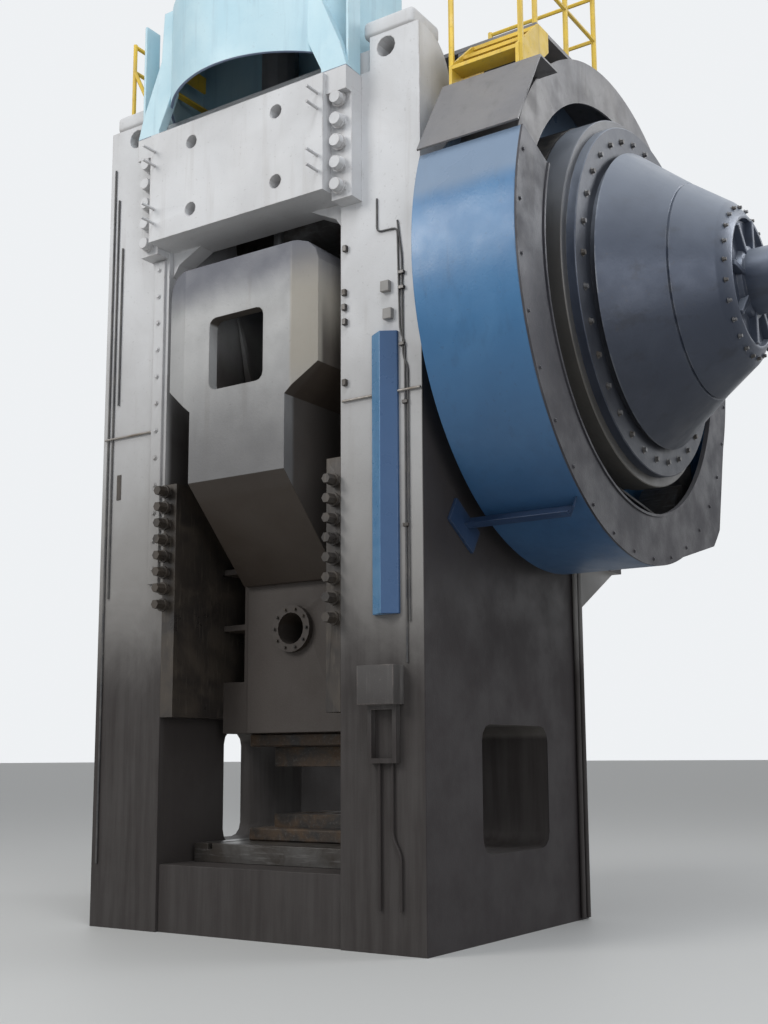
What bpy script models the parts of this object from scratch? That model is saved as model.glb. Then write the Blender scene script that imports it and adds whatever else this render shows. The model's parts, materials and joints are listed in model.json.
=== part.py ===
# Crank forging press with a belt-driven flywheel on its right side.
# Metres. X runs along the shafts, Y runs away from the front, Z runs up from the floor.
# The origin is the middle of the press's footprint on the floor. The ram stands at its highest point.

import math

import bmesh
import bpy
from mathutils import Matrix, Vector

for old in list(bpy.data.objects):
    bpy.data.objects.remove(old)

# Clearances shared by all pieces
gap = 0.0003
overrun = 0.05
hex_sides = 6
rod_sides = 12
hole_sides = 12
round_sides = 20
corner_steps = 3
edge_angle = math.radians(35)
bevel_angle = math.radians(50)
merge_distance = 0.00001

# Frame
frame_half_width = 1.94
window_half_width = 1.07
frame_depth = 3.10
frame_height = 7.90
upright_middle = (window_half_width + frame_half_width) / 2
head_offset = 0.105
head_inner_x = upright_middle - head_offset
head_depth = 0.55
head_top = 8.235
head_round = 0.42
lifting_hole_inset = 0.18
lifting_hole_x = head_inner_x + lifting_hole_inset
lifting_hole_z = 8.09
lifting_hole_radius = 0.10
side_window_front = -0.60
side_window_back = 0.70
side_window_bottom = 0.75
side_window_top = 1.90
side_window_corner = 0.15
front_y = -frame_depth / 2
back_y = frame_depth / 2

# Tie rods
tie_offset = 0.045
tie_x = upright_middle + tie_offset
tie_y = 0.86
tie_radius = 0.08
tie_nut_radius = 0.13
tie_nut_height = 0.16
tie_foot_depth = 0.14
tie_pocket_half = 0.16
tie_tail = 0.03
join_step = 0.004

# Top boxes over the lifting heads
top_box_overhang = 0.08
top_box_inset = 0.06
top_box_inner_x = head_inner_x - top_box_overhang
top_box_outer_x = frame_half_width - top_box_inset
top_box_height = 0.18
top_box_depth = 0.48
top_box_round = 0.05

# Bed, bolster and lower tools
bed_top = 0.62
bed_depth = 3.04
bed_well_radius = 0.20
bed_well_height = 0.30
bed_floor = 0.06
bolster_clearance = 0.07
bolster_half_width = window_half_width - bolster_clearance
bolster_front = -1.10
bolster_back = 1.25
bolster_top = 0.80
slot_width = 0.05
slot_depth = 0.06
slot_inset = 0.20
slot_x = bolster_half_width - slot_inset
holder_half_width = 0.72
holder_half_depth = 0.62
lower_holder_top = 0.93
die_half_width = 0.55
die_half_depth = 0.42
lower_die_top = 1.06
die_pitch = 0.36
die_hollow_radius = 0.13
die_hollow_depth = 0.03
tool_bevel = 0.015
ejector_radius = 0.04
lower_ejector_stroke = 0.08
upper_ejector_stroke = 0.06
ejector_head_radius = 0.10
ejector_head_height = 0.05
ejector_height = 0.60

# Eccentric drive
shaft_y = 0.0
shaft_z = 7.15
throw = 0.23
stroke = 2 * throw
die_gap_closed = 0.004
journal_radius = 0.30
journal_sides = 24
eccentric_radius = 0.54
eccentric_half_width = 0.39
eccentric_sides = 32
rod_length = 1.90
rod_ring_radius = 0.70
rod_waist = 0.24
rod_eye_radius = 0.27
rod_shoulder_z = 6.55
wrist_radius = 0.15
wrist_sides = 20
bearing_radius = 0.42
bearing_sleeve_radius = 0.40
bearing_flange_radius = 0.52
bearing_flange_width = 0.12
brake_seat_radius = 0.22
brake_seat_length = 0.22
gear_seat_radius = 0.25
crank_z = shaft_z + throw
wrist_z = crank_z - rod_length

# Ram
guide_width = 0.16
ram_half_width = window_half_width - guide_width
ram_front = -1.75
ram_bevel_width = 0.25
ram_bevel_x = ram_half_width - ram_bevel_width
ram_bevel_y = -1.68
ram_top = 6.35
ram_corner = 0.20
ram_jog_top = 5.17
ram_jog_bottom = 4.90
ram_jog_width = 0.33
ram_nose_half_width = ram_half_width - ram_jog_width
ram_nose_z = 4.20
ram_slope_end_y = -0.90
ram_slope_end_z = 3.30
ram_arm_back = -0.72
ram_body_front = -0.83
ram_body_back = 0.90
ram_body_top = 5.50
ram_bottom = 1.85
ram_wall = 0.12
ram_side_wall = 0.41
ram_hollow_half_width = ram_half_width - ram_side_wall
ram_hollow_back = 0.62
ram_hollow_bottom = 4.70
ram_window_left_inset = 0.16
ram_window_right_inset = 0.18
ram_window_left = ram_window_left_inset - ram_hollow_half_width
ram_window_right = ram_hollow_half_width - ram_window_right_inset
ram_window_bottom = 5.08
ram_window_top = 5.79
ram_window_corner = 0.08
ram_rib_y = -1.15
ram_rib_thickness = 0.05
ram_rib_reach = 0.30
ram_rib_left = ram_window_right - ram_rib_reach
ram_rib_bottom = 5.42
ram_brace_width = 0.13
ram_brace_lean_deg = 18
ram_brace_offset = 0.20
ram_brace_x = ram_window_left + ram_brace_offset
ram_bar_y = -1.12
ram_bar_depth = 0.24
ram_bar_height = 0.20
ram_bar_step = 0.01
port_z = 2.85
port_radius = 0.155
port_depth = 0.35
port_flange_radius = 0.23
port_flange_thickness = 0.06
port_sides = 20
wing_outer_inset = 0.03
wing_pocket_width = 0.24
wing_outer_x = ram_half_width - wing_outer_inset
wing_inner_x = wing_outer_x - wing_pocket_width
wing_pocket_depth = 0.38
wing_setback = 0.02
wing_pocket_bottom = 2.30
wing_pocket_top = 4.60
wing_shelf = 0.06
wing_pockets = 4
upper_holder_height = 0.13
pin_end_clearance = 0.12
pin_overhang = 0.14
wrist_half_length = ram_hollow_half_width - pin_end_clearance
rod_eye_half_width = wrist_half_length - pin_overhang

# Guide strips
gib_bottom = 2.00
gib_top = 4.28
front_gib_back = -0.20
rear_gib_front = 0.25
rear_gib_back = 1.45
gib_bolt_inset = 0.05
gib_bolt_x = window_half_width - gib_bolt_inset
gib_bolt_radius = 0.045
gib_bolt_length = 0.10
right_gib_bolt_top = 4.06
right_gib_bolt_pitch = 0.177
left_gib_bolt_top = 4.20
left_gib_bolt_pitch = 0.16
gib_bolts = 8

# Crown
crown_lap = 0.01
crown_half_width = window_half_width + crown_lap
crown_front = -1.85
crown_bottom = 6.71
crown_top = 7.85
crown_tongue_back = -1.30
crown_flange_width = 0.23
crown_flange_x = crown_half_width + crown_flange_width
crown_flange_front = -1.715
crown_flange_bottom = 6.64
crown_flange_top = 7.70
crown_flange_bolt_offset = 0.11
crown_flange_bolt_x = crown_half_width + crown_flange_bolt_offset
crown_flange_bolts = 5
crown_bolt_radius = 0.062
crown_bolt_height = 0.06
crown_hole_inset = 0.55
crown_hole_x = crown_half_width - crown_hole_inset
crown_hole_top = 7.63
crown_hole_bottom = 6.93
crown_hole_radius = 0.07
crown_hole_depth = 0.16
crown_stud_inset = 0.06
crown_stud_x = crown_half_width - crown_stud_inset
crown_stud_heights = (7.66, 7.51, 7.05, 6.90)
crown_stud_radius = 0.016
crown_stud_length = 0.17
crown_gusset_bottom = 6.45
crown_gusset_mid_inset = 0.10
crown_gusset_mid_x = crown_half_width - crown_gusset_mid_inset
crown_gusset_mid_z = 6.57
crown_gusset_width = 0.38
crown_gusset_inner_x = crown_half_width - crown_gusset_width
crown_gusset_thickness = 0.20
foot_inset = 0.05
foot_inner_x = crown_half_width - foot_inset
foot_top = 7.88
foot_front = -1.80
rear_beam_depth = 0.40
rear_beam_bottom = 6.40
cap_side_gap = 0.02
cap_half_width = head_inner_x - cap_side_gap
cap_half_depth = 1.50
cap_top = 8.15
cap_clearance = 0.025

# Hood over the crown
hood_y = -0.83
cheek_inset = 0.01
cheek_outer_x = crown_flange_x - cheek_inset
hood_radius = cheek_outer_x
hood_wall = 0.03
hood_top = 9.20
leg_thickness = 0.10
leg_inner_inset = 0.46
leg_knee_inset = 0.29
leg_inner_x = crown_flange_x - leg_inner_inset
leg_knee_inner = (crown_flange_x - leg_knee_inset, 7.92)
leg_knee_z = 8.275
leg_low_inset = 0.07
leg_high_inset = 0.30
leg_top_inset = 0.33
leg_outer_low = (crown_flange_x - leg_low_inset, 8.12)
leg_outer_high = (crown_flange_x - leg_high_inset, 8.66)
leg_outer_top_x = crown_flange_x - leg_top_inset
cheek_thickness = 0.03

# Balance cylinder
balance_rod_radius = 0.05
balance_bore = 0.15
balance_wall = 0.04
balance_height = 0.72
piston_height = 0.08
balance_sides = 12

# Gear pair and receiving shaft
drive_y = 0.50
drive_z = 5.88
gear_teeth = 45
pinion_teeth = 15
gear_offset = 0.045
gear_width = 0.28
gear_left = frame_half_width + gear_offset
gear_right = gear_left + gear_width
backlash = 0.004
pressure_deg = 20
gear_hub_radius = 0.40
gear_rim_radius = 0.90
gear_holes = 6
gear_hole_radius = 0.15
pinion_shaft_radius = 0.16
shaft_nut_radius = 0.20
shaft_nut_height = 0.04
shaft_nut_left = window_half_width - shaft_nut_height
pinion_sides = 20
drive_bearing_radius = 0.26
collar_radius = 0.30
flywheel_seat_radius = 0.24
clutch_disc_radius = 0.62
clutch_disc_width = 0.14
union_radius = 0.08
case_wall = 0.012
case_clearance = 0.022
case_end_gap = 0.055
case_right = gear_right + case_end_gap
case_steps = 20
centre_distance = math.hypot(drive_y - shaft_y, drive_z - shaft_z)
gear_module = 2 * centre_distance / (gear_teeth + pinion_teeth)
mesh_angle = math.atan2(drive_z - shaft_z, drive_y - shaft_y)

# Flywheel and clutch housing
flywheel_gap = 0.10
flywheel_width = 0.73
flywheel_left = case_right + flywheel_gap
flywheel_right = flywheel_left + flywheel_width
drum_radius = 1.75
belt_seat_depth = 0.02
belt_seat_lip = 0.03
belt_seat_width = 0.45
rim_thickness = 0.37
web_setback = 0.51
web_thickness = 0.14
belt_seat_radius = drum_radius - belt_seat_depth
belt_seat_left = flywheel_left + belt_seat_lip
belt_seat_right = belt_seat_left + belt_seat_width
rim_inner_radius = drum_radius - rim_thickness
web_left = flywheel_left + web_setback
web_right = web_left + web_thickness
hub_radius = 0.46
step_inset = 0.09
step_width = 0.09
step_radius = drum_radius - step_inset
step_right = flywheel_right + step_width
flywheel_sides = 32
cone_flange_width = 0.06
cone_length = 0.84
cone_base_inset = 0.34
cone_flange_inset = 0.05
face_inset = 0.11
cone_left = step_right + cone_flange_width
cone_base_radius = drum_radius - cone_base_inset
cone_flange_radius = cone_base_radius - cone_flange_inset
face_radius = cone_base_radius - face_inset
cone_right = cone_left + cone_length
cone_end_radius = 0.76
cone_nose_length = 0.10
cone_nose_right = cone_right + cone_nose_length
cone_nose_radius = 0.60
cone_wall = 0.07
hub_cap_radius = 0.30
hub_cap_length = 0.28
hub_cap_right = cone_nose_right + hub_cap_length
union_length = 0.10
shaft_right = hub_cap_right + union_length
clutch_disc_gap = 0.16
clutch_disc_left = cone_left + clutch_disc_gap
cone_bore = 0.17
cone_ribs = 8
cone_rib_thickness = 0.05

# Flywheel guard
guard_clearance = 0.75
guard_offset = 0.18
guard_width = 0.98
guard_radius = drum_radius + guard_clearance
guard_left = frame_half_width + guard_offset
guard_right = guard_left + guard_width
guard_wall = 0.02
guard_start_deg = 160
guard_corner_start_deg = 292
guard_corner_deg = 315
guard_corner_spread_deg = 3
guard_corner_rise = 0.30
guard_corner_radius = guard_radius + guard_corner_rise
guard_corner_end_deg = 338
guard_end_deg = 398
guard_step_deg = 6
guard_opening_steps = 30
guard_opening_clearance = 0.27
arch_opening_clearance = 0.22
arch_setback = 0.20
arch_centre_shares = (-0.02, 0.084)
arch_radius_share = 0.86
guard_opening_radius = drum_radius + guard_opening_clearance
arch_y = drive_y + arch_centre_shares[0] * guard_radius
arch_z = drive_z + arch_centre_shares[1] * guard_radius
arch_radius = arch_radius_share * guard_radius
arch_opening_radius = drum_radius + arch_opening_clearance
arch_face_x = guard_right - arch_setback
arch_start_deg = 12
arch_end_deg = 166
arch_opening_end_deg = 174
arch_steps = 18
roof_start_deg = 52
roof_end_deg = 130
top_plate_low_shares = (-0.962, 0.356)
top_plate_high_shares = (-0.78, 0.672)
top_plate_back_share = -0.6456
top_plate_low = (
    drive_y + top_plate_low_shares[0] * guard_radius,
    drive_z + top_plate_low_shares[1] * guard_radius,
)
top_plate_high = (
    drive_y + top_plate_high_shares[0] * guard_radius,
    drive_z + top_plate_high_shares[1] * guard_radius,
)
top_plate_back = drive_y + top_plate_back_share * guard_radius
arch_lip = 0.01
inner_plate_hole = 0.34
arm_deg = 238
arm_depth = 0.13
arm_half_height = 0.15
arm_overhang = 0.16
arm_right = guard_right + arm_overhang
arm_root_half_height = 0.24
arm_root_thickness = 0.03

# Motor drive
motor_corner_gap = 0.40
motor_reach = guard_corner_radius - motor_corner_gap
motor_deg = 315
motor_radius = 0.40
motor_bell_radius = 0.30
motor_bell_length = 0.13
motor_foot_inset = 0.10
motor_guard_gap = 0.10
motor_length = 1.07
motor_right = guard_left - motor_guard_gap
motor_left = motor_right - motor_length
motor_shaft_radius = 0.05
motor_foot_half_width = 0.36
pulley_radius = 0.28
pulley_sides = 20
belt_thickness = 0.022
belt_side_gap = 0.02
belt_left = belt_seat_left + belt_side_gap
belt_right = belt_seat_right - belt_side_gap
console_thickness = 0.10
console_back = 2.66
console_web = 0.06
console_drop = 0.55
motor_y = drive_y + motor_reach * math.cos(math.radians(motor_deg))
motor_z = drive_z + motor_reach * math.sin(math.radians(motor_deg))

# Brake on the left end of the eccentric shaft
brake_radius = 0.56
brake_thickness = 0.05
brake_offset = 0.10
caliper_half_width = 0.26
caliper_height = 0.40
caliper_thickness = 0.24
caliper_slot = 0.012

# Service deck, stairs and railings
deck_z = 8.34
deck_thickness = 0.04
deck_inset = 0.05
deck_reach = 0.58
deck_left = head_inner_x + deck_inset
deck_right = guard_left + deck_reach
deck_front = -0.70
deck_back = 0.70
deck_leg = 0.08
stair_inset = 0.06
stair_width = 0.70
stair_left = guard_left + stair_inset
stair_right = stair_left + stair_width
stair_rise = 0.19
stair_run = 0.20
stair_tread = 0.035
stair_steps = 3
stringer_thickness = 0.03
rail_radius = 0.020
post_radius = 0.026
rail_height = 1.00
rail_sides = 6
ladder_inset = 0.08
ladder_width = 0.36
ladder_left = ladder_inset - frame_half_width
ladder_right = ladder_left + ladder_width
ladder_y = -0.64
ladder_top = 9.35
ladder_rungs = 5
ladder_rung_share = 0.9

# Fittings on the front of the uprights
channel_offset = 0.06
channel_width = 0.27
channel_left = upright_middle + channel_offset - channel_width / 2
channel_right = channel_left + channel_width
channel_bottom = 2.82
channel_top = 5.33
channel_side = 0.03
channel_ridge = 0.11
box_offset = 0.04
box_width = 0.37
box_left = upright_middle + box_offset - box_width / 2
box_right = box_left + box_width
box_bottom = 2.05
box_top = 2.38
box_depth = 0.17
box_frame_bottom = 1.56
box_frame_inset = 0.04
box_frame_depth = 0.07
strip_inset = 0.04
strip_width = 0.14
strip_right = -window_half_width - strip_inset
strip_left = strip_right - strip_width
strip_bottom = 3.30
strip_top = 6.62
strip_thickness = 0.03

press = bpy.data.collections.new("crank_forging_press")
cutters = bpy.data.collections.new("cutters")
bpy.context.scene.collection.children.link(press)
bpy.context.scene.collection.children.link(cutters)

turn_to = {
    "X": Matrix(((0, 0, 1), (0, 1, 0), (-1, 0, 0))).to_euler(),
    "Y": Matrix(((1, 0, 0), (0, 0, 1), (0, -1, 0))).to_euler(),
    "Z": Matrix.Identity(3).to_euler(),
}
lay_in = {
    "YZ": Matrix(((0, 0, 1), (1, 0, 0), (0, 1, 0))).to_euler(),
    "XZ": Matrix(((1, 0, 0), (0, 0, -1), (0, 1, 0))).to_euler(),
    "XY": Matrix.Identity(3).to_euler(),
}


def paint(name, colour, roughness, metallic):
    material = bpy.data.materials.new(name)
    material.use_nodes = True
    surface = material.node_tree.nodes["Principled BSDF"]
    surface.inputs["Base Color"].default_value = (*colour, 1)
    surface.inputs["Roughness"].default_value = roughness
    surface.inputs["Metallic"].default_value = metallic
    material.diffuse_color = (*colour, 1)
    return material


frame_grey = paint("frame grey", (0.62, 0.63, 0.64), 0.55, 0.0)
ram_grey = paint("ram grey", (0.45, 0.45, 0.46), 0.5, 0.2)
guard_blue = paint("guard blue", (0.10, 0.24, 0.42), 0.4, 0.0)
hood_blue = paint("hood blue", (0.34, 0.60, 0.72), 0.5, 0.0)
wheel_steel = paint("wheel steel", (0.10, 0.12, 0.16), 0.45, 0.5)
dusty_grey = paint("dusty grey", (0.24, 0.23, 0.23), 0.7, 0.1)
bare_steel = paint("bare steel", (0.42, 0.42, 0.43), 0.35, 0.9)
black_steel = paint("black steel", (0.05, 0.05, 0.05), 0.6, 0.4)
bronze = paint("bronze", (0.48, 0.32, 0.14), 0.4, 0.9)
rail_yellow = paint("rail yellow", (0.72, 0.50, 0.05), 0.5, 0.0)
belt_rubber = paint("belt rubber", (0.02, 0.02, 0.02), 0.8, 0.0)


def add(name, data, material):
    item = bpy.data.objects.new(name, data)
    if material is None:
        cutters.objects.link(item)
        item.hide_render = True
        item.display_type = "WIRE"
    else:
        press.objects.link(item)
        data.materials.append(material)
    return item


def box(name, low, high, material=None):
    shape = bmesh.new()
    bmesh.ops.create_cube(shape, size=1)
    bmesh.ops.scale(shape, vec=Vector(high) - Vector(low), verts=shape.verts)
    mesh = bpy.data.meshes.new(name)
    shape.to_mesh(mesh)
    shape.free()
    item = add(name, mesh, material)
    item.location = (Vector(low) + Vector(high)) / 2
    return item


def cylinder(name, axis, centre, radius, low, high, sides, material=None, end_radius=None):
    shape = bmesh.new()
    bmesh.ops.create_cone(
        shape,
        cap_ends=True,
        segments=sides,
        radius1=radius,
        radius2=radius if end_radius is None else end_radius,
        depth=high - low,
    )
    mesh = bpy.data.meshes.new(name)
    shape.to_mesh(mesh)
    shape.free()
    mesh.shade_smooth()
    mesh.set_sharp_from_angle(angle=edge_angle)
    item = add(name, mesh, material)
    middle = (low + high) / 2
    places = {
        "X": (middle, centre[0], centre[1]),
        "Y": (centre[0], middle, centre[1]),
        "Z": (centre[0], centre[1], middle),
    }
    item.location = places[axis]
    item.rotation_euler = turn_to[axis]
    return item


def turned(name, axis, centre, profile, closed, steps, material=None):
    # The profile holds (radius, distance along the axis) and runs down its outer side.
    mesh = bpy.data.meshes.new(name)
    shape = bmesh.new()
    points = [shape.verts.new((radius, 0, along)) for radius, along in profile]
    for first, second in zip(points, points[1:]):
        shape.edges.new((first, second))
    if closed:
        shape.edges.new((points[-1], points[0]))
    shape.to_mesh(mesh)
    shape.free()
    item = add(name, mesh, material)
    item.location = {"X": (0, *centre), "Y": (centre[0], 0, centre[1]), "Z": (*centre, 0)}[axis]
    item.rotation_euler = turn_to[axis]
    screw = item.modifiers.new("turn", "SCREW")
    screw.axis = "Z"
    screw.steps = steps
    screw.render_steps = steps
    screw.use_merge_vertices = True
    screw.merge_threshold = merge_distance
    return item


def arc(centre, radius, start_deg, end_deg, steps):
    angles = [math.radians(start_deg + (end_deg - start_deg) * i / steps) for i in range(steps + 1)]
    return [(centre[0] + radius * math.cos(a), centre[1] + radius * math.sin(a)) for a in angles]


def circle(centre, radius, sides):
    return arc(centre, radius, 0, 360, sides)[:-1]


def rounded_box(low, high, radius, steps=corner_steps):
    corners = (
        (high[0] - radius, high[1] - radius, 0),
        (low[0] + radius, high[1] - radius, 90),
        (low[0] + radius, low[1] + radius, 180),
        (high[0] - radius, low[1] + radius, 270),
    )
    points = []
    for u, v, start in corners:
        points += arc((u, v), radius, start, start + 90, steps)
    return points


def plate(name, plane, outlines, low, high, material=None):
    # A flat outline, with further outlines as holes, as thick as high - low along the third axis.
    curve = bpy.data.curves.new(name + " outline", "CURVE")
    curve.dimensions = "2D"
    curve.fill_mode = "BOTH"
    curve.extrude = (high - low) / 2
    for points in outlines:
        spline = curve.splines.new("POLY")
        spline.points.add(len(points) - 1)
        for point, (u, v) in zip(spline.points, points):
            point.co = (u, v, 0, 1)
        spline.use_cyclic_u = True
    drawn = bpy.data.objects.new(name + " outline", curve)
    cutters.objects.link(drawn)
    middle = (low + high) / 2
    drawn.location = {"YZ": (middle, 0, 0), "XZ": (0, middle, 0), "XY": (0, 0, middle)}[plane]
    drawn.rotation_euler = lay_in[plane]
    depsgraph = bpy.context.evaluated_depsgraph_get()
    mesh = bpy.data.meshes.new_from_object(drawn.evaluated_get(depsgraph))
    mesh.name = name
    shape = bmesh.new()
    shape.from_mesh(mesh)
    bmesh.ops.remove_doubles(shape, verts=shape.verts, dist=merge_distance)
    shape.to_mesh(mesh)
    shape.free()
    item = add(name, mesh, material)
    item.matrix_world = drawn.matrix_world.copy()
    bpy.data.objects.remove(drawn)
    return item


def combine(item, other, operation):
    step = item.modifiers.new(operation.lower(), "BOOLEAN")
    step.operation = operation
    step.solver = "EXACT"
    step.object = other


def cut(item, *others):
    for other in others:
        combine(item, other, "DIFFERENCE")


def join(item, *others):
    for other in others:
        combine(item, other, "UNION")


def merged(name, items):
    shape = bmesh.new()
    for item in items:
        mesh = item.data.copy()
        mesh.transform(item.matrix_basis)
        shape.from_mesh(mesh)
        bpy.data.meshes.remove(mesh)
        bpy.data.objects.remove(item)
    mesh = bpy.data.meshes.new(name)
    shape.to_mesh(mesh)
    shape.free()
    return add(name, mesh, None)


def unite(name, items, material):
    first = items[0]
    first.name = name
    cutters.objects.unlink(first)
    press.objects.link(first)
    first.hide_render = False
    first.display_type = "TEXTURED"
    first.data.materials.append(material)
    for other in items[1:]:
        join(first, other)
    return first


def bevel(item, width, segments=1):
    step = item.modifiers.new("round edges", "BEVEL")
    step.width = width
    step.segments = segments
    step.limit_method = "ANGLE"
    step.angle_limit = bevel_angle


def running_radius(radius, sides):
    # The corner radius of a bore whose flats stay clear of a shaft turning in it.
    return (radius + gap) / math.cos(math.pi / sides)


def loop_around(first, first_radius, second, second_radius, first_steps, second_steps):
    # The outline of a band stretched around two circles, its flats touching them from outside.
    distance = math.hypot(second[0] - first[0], second[1] - first[1])
    line_deg = math.degrees(math.atan2(second[1] - first[1], second[0] - first[0]))
    spread = math.degrees(math.acos((first_radius - second_radius) / distance))
    far_corner = first_radius / math.cos(math.radians((180 - spread) / first_steps))
    near_corner = second_radius / math.cos(math.radians(spread / second_steps))
    far_side = arc(first, far_corner, line_deg + spread, line_deg + 360 - spread, first_steps)
    near_side = arc(second, near_corner, line_deg - spread, line_deg + spread, second_steps)
    return far_side + near_side


def pivot(name, place):
    empty = bpy.data.objects.new(name, None)
    press.objects.link(empty)
    empty.location = place
    return empty


def carry(empty, *items):
    for item in items:
        item.parent = empty
        item.matrix_parent_inverse = Matrix.Translation(empty.location).inverted()


def upright(name, side):
    # One casting: the whole side view as a thick outline, then the cuts along the other directions
    low, high = sorted((side * window_half_width, side * frame_half_width))
    round_centre = (back_y - head_depth + head_round, head_top - head_round)
    back_half = [(back_y, 0), (back_y, head_top)]
    back_half += arc(round_centre, head_round, 90, 180, 2 * corner_steps)
    back_half.append((back_y - head_depth, frame_height))
    outline = back_half + [(-y, z) for y, z in reversed(back_half)]
    window = rounded_box(
        (side_window_front, side_window_bottom), (side_window_back, side_window_top), side_window_corner
    )
    holes = [window, circle((shaft_y, shaft_z), bearing_radius + gap, journal_sides)]
    if side > 0:
        holes.append(circle((drive_y, drive_z), drive_bearing_radius + gap, pinion_sides))
    body = plate(name, "YZ", [outline, *holes], low, high, frame_grey)
    inner_low, inner_high = sorted((side * (window_half_width - overrun), side * head_inner_x))
    cut(body, box("head cut", (inner_low, front_y - overrun, frame_height),
                  (inner_high, back_y + overrun, head_top + overrun)))
    cut(body, cylinder("lifting hole", "Y", (side * lifting_hole_x, lifting_hole_z), lifting_hole_radius,
                       front_y - overrun, back_y + overrun, hole_sides))
    for end in (-1, 1):
        cut(body, cylinder("tie hole", "Z", (side * tie_x, end * tie_y), tie_radius + gap,
                           tie_foot_depth / 2, frame_height + overrun, rod_sides))
        cut(body, box("tie pocket", (side * tie_x - tie_pocket_half, end * tie_y - tie_pocket_half, -overrun),
                      (side * tie_x + tie_pocket_half, end * tie_y + tie_pocket_half, tie_foot_depth)))
    return body


def tie_rod(name, side, end):
    place = (side * tie_x, end * tie_y)
    nut_top = frame_height + tie_nut_height
    foot_low = tie_foot_depth - tie_nut_height / 2
    rod = cylinder(name, "Z", place, tie_radius, foot_low - tie_tail, nut_top + tie_tail, rod_sides,
                   bare_steel)
    join(rod,
         cylinder("nut", "Z", place, tie_nut_radius, frame_height + gap, nut_top, hex_sides),
         cylinder("foot nut", "Z", place, tie_nut_radius, foot_low, tie_foot_depth - gap, hex_sides))
    return rod


def top_box(name, side):
    low, high = sorted((side * top_box_inner_x, side * top_box_outer_x))
    item = box(name, (low, front_y, head_top + gap),
               (high, front_y + top_box_depth, head_top + top_box_height), frame_grey)
    bevel(item, top_box_round, 3)
    return item


def bed_and_tools():
    half = window_half_width - gap
    bed = box("bed", (-half, -bed_depth / 2, 0), (half, bed_depth / 2, bed_top), frame_grey)
    well = cylinder("ejector well", "Z", (0, 0), bed_well_radius, bed_floor, bed_well_height, round_sides)
    hole = cylinder("ejector hole", "Z", (0, 0), ejector_radius + gap, bed_well_height / 2,
                    bed_top + overrun, hole_sides)
    cut(bed, well, hole)

    bolster = box("bolster", (-bolster_half_width, bolster_front, bed_top + gap),
                  (bolster_half_width, bolster_back, bolster_top), bare_steel)
    slots = []
    for side in (-1, 1):
        middle = side * slot_x
        slots.append(
            box("slot", (middle - slot_width / 2, bolster_front - overrun, bolster_top - slot_depth),
                (middle + slot_width / 2, bolster_back + overrun, bolster_top + overrun))
        )
    slots.append(cylinder("bolster hole", "Z", (0, 0), ejector_radius + gap, bed_top - overrun,
                          bolster_top + overrun, hole_sides))
    cut(bolster, merged("bolster cuts", slots))

    lower_holder = box("lower_die_holder", (-holder_half_width, -holder_half_depth, bolster_top + gap),
                       (holder_half_width, holder_half_depth, lower_holder_top), black_steel)
    bevel(lower_holder, tool_bevel)
    cut(lower_holder, cylinder("holder hole", "Z", (0, 0), ejector_radius + gap, bolster_top - overrun,
                               lower_holder_top + overrun, hole_sides))

    lower_die = box("lower_die", (-die_half_width, -die_half_depth, lower_holder_top + gap),
                    (die_half_width, die_half_depth, lower_die_top), black_steel)
    hollows = [
        cylinder("hollow", "Z", (number * die_pitch, 0), die_hollow_radius, lower_die_top - die_hollow_depth,
                 lower_die_top + overrun, hole_sides)
        for number in (-1, 0, 1)
    ]
    cut(lower_die, merged("lower hollows", hollows),
        cylinder("die hole", "Z", (0, 0), ejector_radius + gap, lower_holder_top - overrun,
                 lower_die_top + overrun, hole_sides))

    head_z = bed_well_height - ejector_head_height - lower_ejector_stroke - gap
    ejector = cylinder("lower_ejector", "Z", (0, 0), ejector_radius, head_z,
                       lower_die_top - die_hollow_depth - gap, hole_sides, bare_steel)
    join(ejector, cylinder("ejector head", "Z", (0, 0), ejector_head_radius, head_z,
                           head_z + ejector_head_height, hole_sides))
    carry(pivot("lower ejector axis", (0, 0, head_z)), ejector)


def gib(name, side, front, back, bolt_top=None, bolt_pitch=None):
    inner = ram_half_width + gap
    outer = window_half_width - gap
    low, high = sorted((side * inner, side * outer))
    item = box(name, (low, front, gib_bottom), (high, back, gib_top), bronze)
    if bolt_top is None:
        return item
    bolts = [
        cylinder("guide bolt", "Y", (side * gib_bolt_x, bolt_top - number * bolt_pitch), gib_bolt_radius,
                 front - gib_bolt_length, front + overrun, hex_sides)
        for number in range(gib_bolts)
    ]
    join(item, merged("guide bolts", bolts))
    return item


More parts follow.
